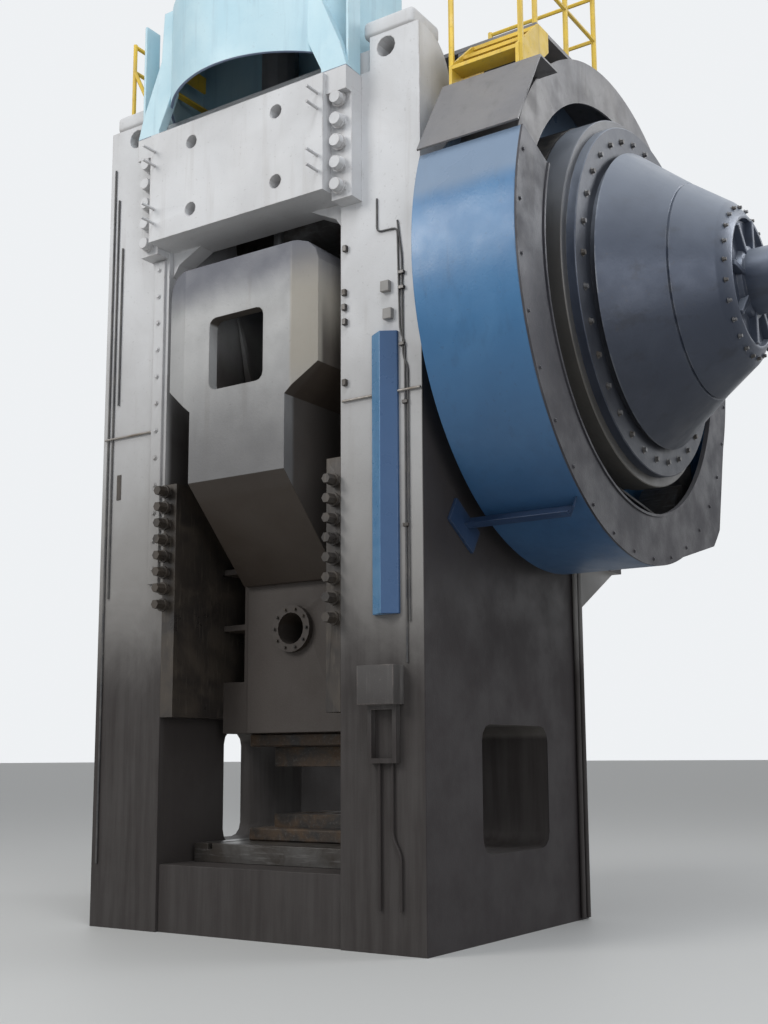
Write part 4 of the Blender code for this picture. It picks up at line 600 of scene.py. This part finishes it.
def pipeRun(name, runs, radius, material, body, slotName, bend=0.05):
    # round pipes or cables along routes with rounded corners
    curve = bpy.data.curves.new(name, "CURVE")
    curve.dimensions = "3D"
    curve.bevel_depth = radius
    curve.bevel_resolution = 3
    curve.use_fill_caps = True
    for route in runs:
        points = [Vector(p) for p in route]
        smooth = [points[0]]
        for before, corner, after in zip(points, points[1:], points[2:]):
            reach = min(bend, (before - corner).length / 2, (after - corner).length / 2)
            first = corner + (before - corner).normalized() * reach
            last = corner + (after - corner).normalized() * reach
            for i in range(6):
                t = i / 5
                smooth.append(first * (1 - t) ** 2 + corner * 2 * t * (1 - t) + last * t * t)
        smooth.append(points[-1])
        spline = curve.splines.new("POLY")
        spline.points.add(len(smooth) - 1)
        for point, value in zip(spline.points, smooth):
            point.co = (*value, 1)
    drawn = bpy.data.objects.new(name, curve)
    scene.collection.objects.link(drawn)
    return place(name, smoothMesh(meshFrom(drawn, name), 40), material, body, slotName)


# what both Geometry Nodes trees share: named inputs, an end with the finish, and a plain mesh
def startTree(name, inputs, takesMesh=False):
    tree = bpy.data.node_groups.new(name, "GeometryNodeTree")
    face = tree.interface
    if takesMesh:
        face.new_socket(name="Geometry", in_out="INPUT", socket_type="NodeSocketGeometry")
    sockets = {}
    for label, kind, value in inputs:
        socket = face.new_socket(name=label, in_out="INPUT", socket_type="NodeSocket" + kind)
        if value is not None:
            socket.default_value = value
        sockets[label] = socket.identifier
    face.new_socket(name="Geometry", in_out="OUTPUT", socket_type="NodeSocketGeometry")
    return tree, tree.nodes.new("NodeGroupInput").outputs, sockets


def endTree(tree, geometry, material):
    real = addNode(tree, "GeometryNodeRealizeInstances", None, {0: geometry}).outputs[0]
    coated = addNode(tree, "GeometryNodeSetMaterial", None, {"Geometry": real, "Material": material}).outputs[0]
    addNode(tree, "NodeGroupOutput", None, {0: coated})


def meshFromTree(name, mesh, tree, sockets, values):
    carrier = bpy.data.objects.new(name + "Carrier", mesh)
    scene.collection.objects.link(carrier)
    maker = carrier.modifiers.new(tree.name, "NODES")
    maker.node_group = tree
    for label, value in values.items():
        maker[sockets[label]] = value
    carrier.update_tag()
    return meshFrom(carrier, name)


# Geometry Nodes: a row or a ring of bolt heads, each on a washer
headShape = {"topShare": 0.88, "washerShare": 0.22, "washerSides": 16, "sharpDeg": 30}


def headTree():
    tree, source, sockets = startTree("boltHeads", (
        ("Count", "Int", 4), ("Ring", "Bool", False), ("Ring Radius", "Float", 1.0),
        ("Start", "Vector", (0, 0, 0)), ("Step", "Vector", (0, 0, 0.1)), ("Turn", "Rotation", (0, 0, 0)),
        ("Head Radius", "Float", 0.02), ("Head Height", "Float", 0.015), ("Sides", "Int", 6),
        ("Washer", "Float", 1.35), ("First Angle", "Float", 0.0), ("Sweep", "Float", 2 * math.pi),
        ("Finish", "Material", None),
    ))
    line = addNode(tree, "GeometryNodeMeshLine", {"mode": "OFFSET"}, {
        "Count": source["Count"], "Start Location": source["Start"], "Offset": source["Step"],
    })
    arc = addNode(tree, "GeometryNodeCurveArc", None, {
        "Resolution": source["Count"], "Radius": source["Ring Radius"],
        "Start Angle": source["First Angle"], "Sweep Angle": source["Sweep"],
    })
    arcSpots = addNode(tree, "GeometryNodeCurveToMesh", None, {"Curve": arc.outputs["Curve"]})
    ring = addNode(tree, "GeometryNodeTransform", None, {
        "Geometry": arcSpots.outputs[0], "Translation": source["Start"], "Rotation": source["Turn"],
    })
    spots = addNode(tree, "GeometryNodeSwitch", {"input_type": "GEOMETRY"}, {
        "Switch": source["Ring"], "False": line.outputs[0], "True": ring.outputs[0],
    })
    head = addNode(tree, "GeometryNodeMeshCone", None, {
        "Vertices": source["Sides"], "Radius Bottom": source["Head Radius"],
        "Radius Top": scaled(tree, source["Head Radius"], headShape["topShare"]),
        "Depth": source["Head Height"],
    })
    washer = addNode(tree, "GeometryNodeMeshCylinder", None, {
        "Vertices": headShape["washerSides"], "Radius": scaled(tree, source["Head Radius"], source["Washer"]),
        "Depth": scaled(tree, source["Head Height"], headShape["washerShare"]),
    })
    both = tree.nodes.new("GeometryNodeJoinGeometry")
    for part in (head, washer):
        tree.links.new(part.outputs["Mesh"], both.inputs[0])
    heads = addNode(tree, "GeometryNodeInstanceOnPoints", None, {
        "Points": spots.outputs[0], "Instance": both.outputs[0], "Rotation": source["Turn"],
    })
    endTree(tree, heads.outputs[0], source["Finish"])
    return tree, sockets


boltTree, boltSockets = headTree()


def boltHeads(name, values, body, slotName):
    mesh = meshFromTree(name, bpy.data.meshes.new(name + "Carrier"), boltTree, boltSockets, values)
    return place(name, smoothMesh(mesh, headShape["sharpDeg"]), values["Finish"], body, slotName)


def ringOf(count, radius, startDeg=0.0, sweepDeg=None):
    # angles run from +Y towards +Z on the right side, and from +X towards +Z on the front
    sweep = 360 * (count - 1) / count if sweepDeg is None else sweepDeg
    return {"Count": count, "Ring": True, "Ring Radius": radius, "First Angle": math.radians(startDeg),
            "Sweep": math.radians(sweep)}


faceFront = (math.radians(90), 0, 0)
faceRight = (0, math.radians(90), 0)


# plain nodes that keep their CAD form, cleaned: finish, slot and width of the worn edges
fourPlaces = ("front_left", "front_right", "rear_left", "rear_right")
framework = ("left_upright", "right_upright", "bed", "crown_rear_beam", "crown_cap")
plainSkins = {
    **{name: ("frame", "frame_paint", 0.012) for name in framework}, "bolster": ("scale", "bare_steel", 0.006),
    "lower_die_holder": ("tool", "tool_steel", 0.004), "lower_die": ("tool", "tool_steel", 0.006),
    "upper_die_holder": ("tool", "tool_steel", 0.004), "upper_die": ("tool", "tool_steel", 0.006),
    "crown_front_beam": ("frame", "frame_paint", 0.008), "control_box": ("box", "frame_paint", 0.008),
    "left_top_box": ("frame", "frame_paint", 0), "right_top_box": ("frame", "frame_paint", 0),
    "motor_console": ("frame", "frame_paint", 0.008), "cover_strip": ("frame", "frame_paint", 0.006),
    "cable_channel": ("channel", "guard_paint", 0.006), "service_deck": ("dusty", "dusty_paint", 0.006),
    "brake_caliper": ("tool", "tool_steel", 0.01), "ram": ("ram", "ram_paint", 0.012),
    "gear_case": ("dusty", "dusty_paint", 0.006), "gear_case_cover": ("dusty", "dusty_paint", 0.006),
    **{spot + "_guide": ("greasy", "guide_bronze", 0.006) for spot in fourPlaces},
    **{spot + "_tie_rod": ("bare", "bare_steel", 0.006) for spot in fourPlaces},
    "guard_inner_plate": ("guard", "guard_paint", 0), "main_gear": ("gear", "gear_iron", 0.003),
    "pinion": ("gear", "gear_iron", 0.003), "connecting_rod": ("gear", "gear_iron", 0.01),
    "deck_railing": ("rail", "rail_paint", 0), "guard_stairs": ("rail", "rail_paint", 0),
    "left_ladder": ("rail", "rail_paint", 0),
}
for nodeName, (finishName, slotName, edge) in plainSkins.items():
    dress(nodeName, finish[finishName], slotName, edge)
coats = {  # nodes that keep their CAD mesh and only get a better finish
    "left_main_bearing": "greasy", "right_main_bearing": "greasy", "receiving_bearing": "greasy",
    "eccentric_shaft": "bare", "wrist_pin": "bare", "receiving_shaft": "bare", "brake_disc": "gear",
    "motor_pulley": "gear", "motor_shaft": "bare", "upper_ejector": "bare", "lower_ejector": "bare",
    "balance_cylinder": "dusty", "balance_rod": "bare", "ram_port_flange": "ram", "motor": "guard",
    "v_belts": "cable",
}
for nodeName, finishName in coats.items():
    coat(nodeName, finish[finishName])
print("plain pieces dressed:", len(plainSkins), "and coated:", len(coats))


# Geometry Nodes: turn a profile, given as a row of points, round the X axis
def latheTree():
    tree, source, sockets = startTree("turnProfile", (
        ("Sides", "Int", 96), ("Profile Points", "Int", 4), ("Centre Y", "Float", 0.0),
        ("Centre Z", "Float", 0.0), ("Finish", "Material", None),
    ), takesMesh=True)

    # a sheet with one row for each profile point, closed on the first, and one column for each side
    sheet = addNode(tree, "GeometryNodeMeshGrid", None, {
        "Size X": source["Profile Points"], "Size Y": source["Sides"],
        "Vertices X": calc(tree, "ADD", source["Profile Points"], 1),
        "Vertices Y": calc(tree, "ADD", source["Sides"], 1),
    })
    spot = tree.nodes.new("GeometryNodeInputPosition").outputs[0]

    def countAlong(axis, count):
        return calc(tree, "ROUND", calc(tree, "ADD", partOf(tree, spot, axis), scaled(tree, count, 0.5)))

    row = calc(tree, "MODULO", countAlong("X", source["Profile Points"]), source["Profile Points"])
    turn = scaled(tree, calc(tree, "DIVIDE", countAlong("Y", source["Sides"]), source["Sides"]), 2 * math.pi)
    point = addNode(tree, "GeometryNodeSampleIndex", {"data_type": "FLOAT_VECTOR"}, {
        "Geometry": source["Geometry"], "Value": spot, "Index": row,
    }).outputs[0]
    radius = partOf(tree, point, "Y")
    spun = addNode(tree, "ShaderNodeCombineXYZ", None, {
        "X": partOf(tree, point, "X"),
        "Y": calc(tree, "ADD", source["Centre Y"], scaled(tree, radius, calc(tree, "COSINE", turn))),
        "Z": calc(tree, "ADD", source["Centre Z"], scaled(tree, radius, calc(tree, "SINE", turn))),
    }).outputs[0]
    bent = addNode(tree, "GeometryNodeSetPosition", None, {"Geometry": sheet.outputs["Mesh"], "Position": spun})
    welded = addNode(tree, "GeometryNodeMergeByDistance", None, {0: bent.outputs[0], "Distance": 0.0001})
    endTree(tree, welded.outputs[0], source["Finish"])
    return tree, sockets


latheGroup, latheSockets = latheTree()


def turned(name, profile, sides, material, body, slotName, nodes=()):
    # profile points are (radius, along X) and form a closed loop
    row = bpy.data.meshes.new(name + "Profile")
    row.from_pydata([(along, radius, 0) for radius, along in profile], [], [])
    made = meshFromTree(name + "Turned", row, latheGroup, latheSockets, {
        "Sides": sides, "Profile Points": len(profile), "Centre Y": driveCentre[0], "Centre Z": driveCentre[1],
        "Finish": material,
    })
    shape = bmesh.new()
    shape.from_mesh(made)
    return place(name, fromBmesh(name, shape), material, body, slotName, nodes)


# flywheel and clutch cover
driveCentre = (0.50, 5.88)
wheel = {
    "sides": 160,
    "rim": (
        (1.66, 3.232), (1.652, 3.24), (1.36, 3.24), (1.30, 3.24), (1.30, 3.07), (0.2425, 3.07), (0.2425, 2.42),
        (0.46, 2.42), (0.46, 2.93), (1.38, 2.93), (1.38, 2.42), (1.742, 2.42), (1.75, 2.428), (1.75, 2.45),
        (1.73, 2.45), (1.73, 2.90), (1.75, 2.90), (1.75, 3.142), (1.742, 3.15), (1.66, 3.15),
    ),
    "cone": (
        (0.17, 4.52), (0.285, 4.52), (0.30, 4.505), (0.30, 4.25), (0.33, 4.235), (0.345, 4.19), (0.57, 4.19),
        (0.585, 4.236), (0.60, 4.24), (0.615, 4.236), (0.752, 4.148), (0.765, 4.132),
        (0.998, 3.810), (0.993, 3.796), (1.010, 3.792), (1.016, 3.785),
        (1.40, 3.312), (1.408, 3.30), (1.36, 3.30), (1.36, 3.2403), (1.30, 3.2403), (1.27, 3.37),
        (0.70, 4.07), (0.17, 4.07),
    ),
    "ribs": 8, "ribLow": (4.17, -0.025, 0.29), "ribHigh": (4.26, 0.025, 0.585), "ribRound": 0.008,
    "bolts": {  # count, ring radius, place along X and head radius
        "coneFlangeBolts": (24, 0.69, 4.19, 0.018), "rimStepBolts": (32, 1.52, 3.24, 0.026),
    },
    "boltHeight": 0.03,
}


def buildFlywheel():
    paint = (finish["wheel"], "flywheel", "wheel_paint")
    turned("flywheelRim", wheel["rim"], wheel["sides"], *paint, ("flywheel",))
    turned("clutchCone", wheel["cone"], wheel["sides"], *paint, ("clutch_cover",))
    shape = bmesh.new()
    for number in range(wheel["ribs"]):
        ribCorners = boxMesh(shape, wheel["ribLow"], wheel["ribHigh"])
        turn = Matrix.Rotation(2 * math.pi * number / wheel["ribs"], 4, "X")
        bmesh.ops.transform(shape, matrix=Matrix.Translation((0, *driveCentre)) @ turn, verts=ribCorners)
    roundEdges(place("coneRibs", fromBmesh("coneRibs", shape), *paint), wheel["ribRound"])
    for name, (count, ringRadius, along, headRadius) in wheel["bolts"].items():
        boltHeads(name, {
            **ringOf(count, ringRadius), "Start": (along, *driveCentre), "Turn": faceRight,
            "Head Radius": headRadius, "Head Height": wheel["boltHeight"], "Finish": finish["gear"],
        }, "flywheel", "gear_iron")


buildFlywheel()
print("flywheel turned")

# guard round the flywheel
guard = {
    "radius": 2.50, "wall": 0.02, "left": 2.12, "right": 3.10, "opening": 2.02, "startDeg": 160, "endDeg": 398,
    "cornerRadius": 2.80, "cornerDeg": (312, 318), "besideCornerDeg": (292, 338), "ringGap": 0.0003,
    "lipHalf": 0.012, "lipLeft": 3.085, "lipRight": 3.135, "lipSteps": 110, "shellRound": 0.004,
    "archCentre": (0.45, 6.09), "archRadius": 2.15, "archRim": 0.01, "archInside": 1.97,
    "archDeg": (12, 166), "archInsideDeg": (12, 174), "archSteps": 80,
    "archFace": (2.90, 2.92), "archRoof": (2.3403, 2.91),
    "lid": ((-1.905, 6.77), (-1.45, 7.56), (-1.114, 7.56), (-1.114, 7.54), (-1.44, 7.54), (-1.888, 6.76)),
}
arm = {
    "deg": 238, "root": 1.9403, "rootRight": 1.97, "rootReach": 0.24, "rootDepths": 2.1, "rootStep": 0.004,
    "end": 2.98, "tip": 3.06, "face": 2.5004, "depth": 0.12, "low": -0.02, "high": 0.05, "drop": 0.10,
    "web": 0.014, "round": 0.003,
}


def guardOutline(inset):
    # round the drum, out to a squared corner at the lower rear, and round again
    radius = guard["radius"] - inset
    before, after = guard["besideCornerDeg"]
    points = arcPoints(driveCentre, radius, guard["startDeg"], before, 88)
    points += arcPoints(driveCentre, guard["cornerRadius"] - inset, *guard["cornerDeg"], 3)
    points += arcPoints(driveCentre, radius, after, guard["endDeg"], 40)
    return points


def buildGuardArm():
    # an angle bar on a root plate, laid out along +Y and turned round the shaft
    shape = bmesh.new()
    root, end, high, web = arm["root"], arm["end"], arm["high"], arm["web"]
    near, far = arm["face"], arm["face"] + arm["depth"]
    boxMesh(shape, (root, near, high - web), (end, far, high))
    boxMesh(shape, (root, far - web, arm["low"]), (end, far, high))
    boxMesh(shape, (root, near + arm["rootStep"], -arm["rootReach"]),
            (arm["rootRight"], near + arm["rootDepths"] * arm["depth"], arm["rootReach"]))
    for corner in boxMesh(shape, (end - web, near, high - web - arm["drop"]), (end, far, high)):
        if corner.co.z < high - 2 * web:
            corner.co.x += arm["tip"] - end
    turn = Matrix.Translation((0, *driveCentre)) @ Matrix.Rotation(math.radians(arm["deg"]), 4, "X")
    bmesh.ops.transform(shape, matrix=turn, verts=shape.verts)
    bar = place("guardArm", fromBmesh("guardArm", shape), finish["arm"], "frame", "guard_paint",
                ("guard_bracket",))
    roundEdges(bar, arm["round"])


def buildGuard():
    sheet = (finish["dusty"], "frame", "dusty_paint")
    outside = guardOutline(0)
    inside = guardOutline(guard["wall"])
    shell = place("guardShell", bandMesh("guardShell", outside, inside, guard["left"], guard["right"]),
                  finish["guard"], "frame", "guard_paint", ("guard_shell",))
    roundEdges(shell, guard["shellRound"])

    def openingArc(offset, steps):
        return arcPoints(driveCentre, guard["opening"] + offset, guard["startDeg"], guard["endDeg"], steps)

    opening = openingArc(0, len(outside) - 1)
    ringMesh = bandMesh("guardRing", outside, opening, guard["right"] + guard["ringGap"],
                        guard["right"] + guard["wall"])
    place("guardRing", ringMesh, finish["ring"], "frame", "dusty_paint", ("guard_ring",))
    half, steps = guard["lipHalf"], guard["lipSteps"]
    lipMesh = bandMesh("guardRingLip", openingArc(half, steps), openingArc(-half, steps), guard["lipLeft"],
                       guard["lipRight"])
    place("guardRingLip", lipMesh, finish["ring"], "frame", "dusty_paint")

    def archArc(offset):
        return arcPoints(guard["archCentre"], guard["archRadius"] + offset, *guard["archDeg"],
                         guard["archSteps"])

    archIn = arcPoints(driveCentre, guard["archInside"], *guard["archInsideDeg"], guard["archSteps"])
    place("archFace", bandMesh("archFace", archArc(guard["archRim"]), archIn, *guard["archFace"]), *sheet,
          ("guard_arch",))
    place("archRoof", bandMesh("archRoof", archArc(0), archArc(-guard["wall"]), *guard["archRoof"]), *sheet)
    buildGuardArm()
    lid = slabMesh("guardTopPlate", guard["lid"], "YZ", guard["left"], guard["right"])
    roundEdges(place("guardTopPlate", lid, *sheet), guard["shellRound"])


buildGuard()
print("guard wrapped")

# hood over the crown, with its legs and cheeks
hood = {
    "centreY": -0.83, "radius": 1.30, "wall": 0.03, "bottom": 8.1503, "top": 9.20, "steps": 72,
    "leg": ((1.02, 7.8803), (1.31, 7.8803), (1.24, 8.12), (1.01, 8.66), (0.98, 9.185), (0.85, 9.185),
            (0.85, 8.275), (1.02, 7.92)),
    "legFront": -1.80, "legBack": -1.70,
    "cheekX": (1.27, 1.30), "cheekY": (-1.75, -1.554), "cheekZ": (7.884, 9.17),
    "shellRound": 0.006, "legRound": 0.008,
}


def buildHood():
    centre = (0, hood["centreY"])
    outer = arcPoints(centre, hood["radius"], 180, 360, hood["steps"])
    inner = arcPoints(centre, hood["radius"] - hood["wall"], 180, 360, hood["steps"])
    bottom, top, ceiling = hood["bottom"], hood["top"], hood["top"] - hood["wall"]
    shape = bmesh.new()
    rows = []
    for (ox, oy), (ix, iy) in zip(outer, inner):
        iy = min(iy, hood["centreY"] - hood["wall"])
        corners = ((ox, oy, bottom), (ox, oy, top), (ix, iy, ceiling), (ix, iy, bottom))
        rows.append([shape.verts.new(corner) for corner in corners])
    for first, second in zip(rows, rows[1:]):
        for i in (0, 2, 3):
            shape.faces.new((first[i], first[(i + 1) % 4], second[(i + 1) % 4], second[i]))
    shape.faces.new([row[1] for row in rows])
    shape.faces.new([row[2] for row in rows])
    for a, b in ((0, 1), (3, 2), (0, 3)):  # the back's outside, inside and lower edge
        shape.faces.new([rows[0][a], rows[0][b], rows[-1][b], rows[-1][a]])
    paint = (finish["hood"], "frame", "hood_paint")
    shell = place("hoodShell", fromBmesh("hoodShell", shape), *paint, ("top_hood",))
    roundEdges(shell, hood["shellRound"])
    for side, sideName in ((-1, "Left"), (1, "Right")):
        name = "hoodLeg" + sideName
        outline = [(side * x, z) for x, z in hood["leg"]]
        leg = slabMesh(name, outline, "XZ", hood["legFront"], hood["legBack"])
        roundEdges(place(name, leg, *paint), hood["legRound"])
        ends = sorted(side * x for x in hood["cheekX"])
        cheek = list(zip(ends, hood["cheekY"], hood["cheekZ"]))
        blocks("hoodCheek" + sideName, [cheek], *paint)


buildHood()
print("hood rolled")

# rows and rings of bolts, as inputs of the bolt tree
bolts = {
    "crownX": 1.19, "crownStart": (-1.752, 6.746),
    "crown": {
        "Count": 5, "Step": (0, 0, 0.212), "Head Radius": 0.066, "Head Height": 0.07, "Sides": 24,
        "Washer": 1.12,
    },
    "guideX": 1.02, "guideY": -1.60, "guideTopAndPitch": {"Left": (4.20, 0.16), "Right": (4.06, 0.177)},
    "guide": {"Count": 8, "Head Radius": 0.052, "Head Height": 0.11, "Sides": 6, "Washer": 1.25},
    "port": {**ringOf(10, 0.193), "Start": (0, -0.893, 2.85), "Head Radius": 0.014, "Head Height": 0.02},
    "cover": {
        "Count": 12, "Start": (-1.18, -1.585, 3.45), "Step": (0, 0, 0.28), "Head Radius": 0.020,
        "Head Height": 0.016,
    },
    "guardRim": {
        **ringOf(22, 2.44, 255, 228), "Start": (3.122, *driveCentre), "Head Radius": 0.016,
        "Head Height": 0.012,
    },
}
for side, sideName in ((-1, "Left"), (1, "Right")):
    boltHeads("crownFlangeBolts" + sideName, {
        **bolts["crown"], "Start": (side * bolts["crownX"], *bolts["crownStart"]), "Turn": faceFront,
        "Finish": finish["frame"],
    }, "frame", "frame_paint")
    top, pitch = bolts["guideTopAndPitch"][sideName]
    boltHeads("guideBolts" + sideName, {
        **bolts["guide"], "Start": (side * bolts["guideX"], bolts["guideY"], top), "Step": (0, 0, -pitch),
        "Turn": faceFront, "Finish": finish["greasy"],
    }, "frame", "guide_bronze")
boltHeads("portFlangeBolts", {**bolts["port"], "Turn": faceFront, "Finish": finish["greasy"]}, "ram",
          "ram_paint")
boltHeads("coverStripBolts", {**bolts["cover"], "Turn": faceFront, "Finish": finish["frame"]}, "frame",
          "frame_paint")
boltHeads("guardRimBolts", {**bolts["guardRim"], "Turn": faceRight, "Finish": finish["ring"]}, "frame",
          "dusty_paint")
print("bolts set")

# small fittings on the fronts of the columns
columnFront = -1.5505
fittings = {
    "pipes": {  # distance from the column, radius, finish, slot and routes as (x, z)
        "frontConduits": (0.010, 0.009, "cable", "belt_rubber", (
            ((1.48, 6.62), (1.48, 6.30), (1.70, 6.29), (1.72, 5.34), (1.77, 5.20), (1.77, 2.40)),
            ((1.70, 6.36), (1.745, 6.02), (1.75, 5.10), (1.80, 4.98), (1.80, 2.75)),
        )),
        "leftCables": (0.012, 0.011, "cable", "belt_rubber", (
            ((-1.86, 7.80), (-1.86, 0.60)), ((-1.80, 7.45), (-1.80, 3.20)), ((-1.73, 6.90), (-1.73, 5.20)),
        )),
        "greasePipes": (0.016, 0.012, "pipe", "bare_steel", (
            ((1.10, 4.78), (1.93, 4.78)), ((-1.90, 4.85), (-1.15, 4.85)),
        )),
        "boxPipes": (0.020, 0.014, "box", "bare_steel", (
            ((1.49, 1.56), (1.49, 0.35)), ((1.62, 1.56), (1.62, 0.95), (1.70, 0.80), (1.70, 0.35)),
        )),
    },
    "sidePipes": {"x": 1.968, "y": (1.36, 1.47), "foot": 0.02, "top": 3.55, "radius": 0.026},
    "boxes": {  # half width, depth, half height, edge, finish, slot and places as (x, z)
        "junctionBoxes": (0.045, 0.05, 0.05, 0.006, "fitting", "dusty_paint", ((1.58, 5.76), (1.605, 5.50))),
        "leftSlots": (0.03, 0.006, 0.13, 0.004, "greasy", "tool_steel", ((-1.70, 4.335),)),
        "cableClips": (0.028, 0.034, 0.016, 0.004, "greasy", "tool_steel", (
            (1.745, 5.86), (1.745, 5.72), (1.775, 4.67), (1.775, 3.58), (1.745, 5.20),
        )),
        "innerClips": (0.022, 0.04, 0.03, 0.006, "greasy", "tool_steel", (
            (1.135, 6.22), (1.125, 5.80), (1.125, 5.66), (1.13, 5.52), (1.13, 4.95),
        )),
    },
}


def buildFittings():
    for name, (away, radius, finishName, slotName, routes) in fittings["pipes"].items():
        runs = [[(x, columnFront - away, z) for x, z in route] for route in routes]
        pipeRun(name, runs, radius, finish[finishName], "frame", slotName)
    side = fittings["sidePipes"]
    pipeRun("sidePipes", [[(side["x"], y, side["foot"]), (side["x"], y, side["top"])] for y in side["y"]],
            side["radius"], finish["fitting"], "frame", "bare_steel")
    for name, (half, depth, rise, edge, finishName, slotName, places) in fittings["boxes"].items():
        y = columnFront
        boxes = [((x - half, y - depth, z - rise), (x + half, y, z + rise)) for x, z in places]
        blocks(name, boxes, finish[finishName], "frame", slotName, edge)


buildFittings()
print("fittings hung")

# light trim: rail on the left box, hooks on the hood, and a plate behind the left hook
trim = {
    "railX": -1.83, "railY": (-1.36, -1.12), "railFoot": 8.4145, "railTop": 9.34, "railMiddle": 9.02,
    "railSize": 0.022, "strutReach": 0.30, "strutStep": 0.02,
    "hooks": ((0.96, 8.86), (-1.02, 8.48)), "hookSize": 0.006, "hookFace": 1.302, "hookSink": 0.01,
    "hookReach": 0.05, "hookDrop": 0.17, "hookBend": 0.02,
    "plateHalf": 0.012, "plateZ": (8.62, 8.80), "soleHalf": 0.04, "soleHeight": 0.016, "plateRound": 0.003,
}


def buildTrim():
    x, (front, back) = trim["railX"], trim["railY"]
    foot, top, middle, size = trim["railFoot"], trim["railTop"], trim["railMiddle"], trim["railSize"]
    posts = [[(x, y, foot), (x, y, top)] for y in (front, back)]
    bars = [[(x, front, z), (x, back, z)] for z in (middle, top - size)]
    strut = [(x + trim["strutReach"], front + trim["strutStep"], foot), (x, front, middle)]
    pipeRun("leftRailPosts", [*posts, *bars, strut], size, finish["rail"], "frame", "rail_paint")
    hooks = []
    for hookX, z in trim["hooks"]:
        shellY = hood["centreY"] - math.sqrt(trim["hookFace"] ** 2 - hookX * hookX)
        near, far, low = shellY + trim["hookSink"], shellY - trim["hookReach"], z - trim["hookDrop"]
        hooks.append([(hookX, near, z), (hookX, far, z), (hookX, far, low), (hookX, near, low)])
    pipeRun("hoodHooks", hooks, trim["hookSize"], finish["greasy"], "frame", "bare_steel", trim["hookBend"])
    # the plate and its sole run back from the hood's shell at the last hook
    half, wide, (plateLow, plateHigh) = trim["plateHalf"], trim["soleHalf"], trim["plateZ"]
    blocks("leftRailKick", [
        ((hookX - half, shellY, plateLow), (hookX + half, back, plateHigh)),
        ((hookX - wide, shellY - wide, foot), (hookX + wide, back + wide, foot + trim["soleHeight"])),
    ], finish["rail"], "frame", "rail_paint", trim["plateRound"])


buildTrim()
print("trim added")

# floor
floorMesh = bpy.data.meshes.new("studioFloor")
floorShape = bmesh.new()
bmesh.ops.create_grid(floorShape, x_segments=1, y_segments=1, size=backdrop["floorSize"])
floorShape.to_mesh(floorMesh)
floorShape.free()
floor = bpy.data.objects.new("studioFloor", floorMesh)
scene.collection.objects.link(floor)
floor.location = (0, 0, -backdrop["floorDrop"])
floorFinish, _, floorShader, _ = startFinish("floorPaint", backdrop["floorRough"])
floorShader.inputs["Base Color"].default_value = (*backdrop["floorTint"], 1)
floorMesh.materials.append(floorFinish)
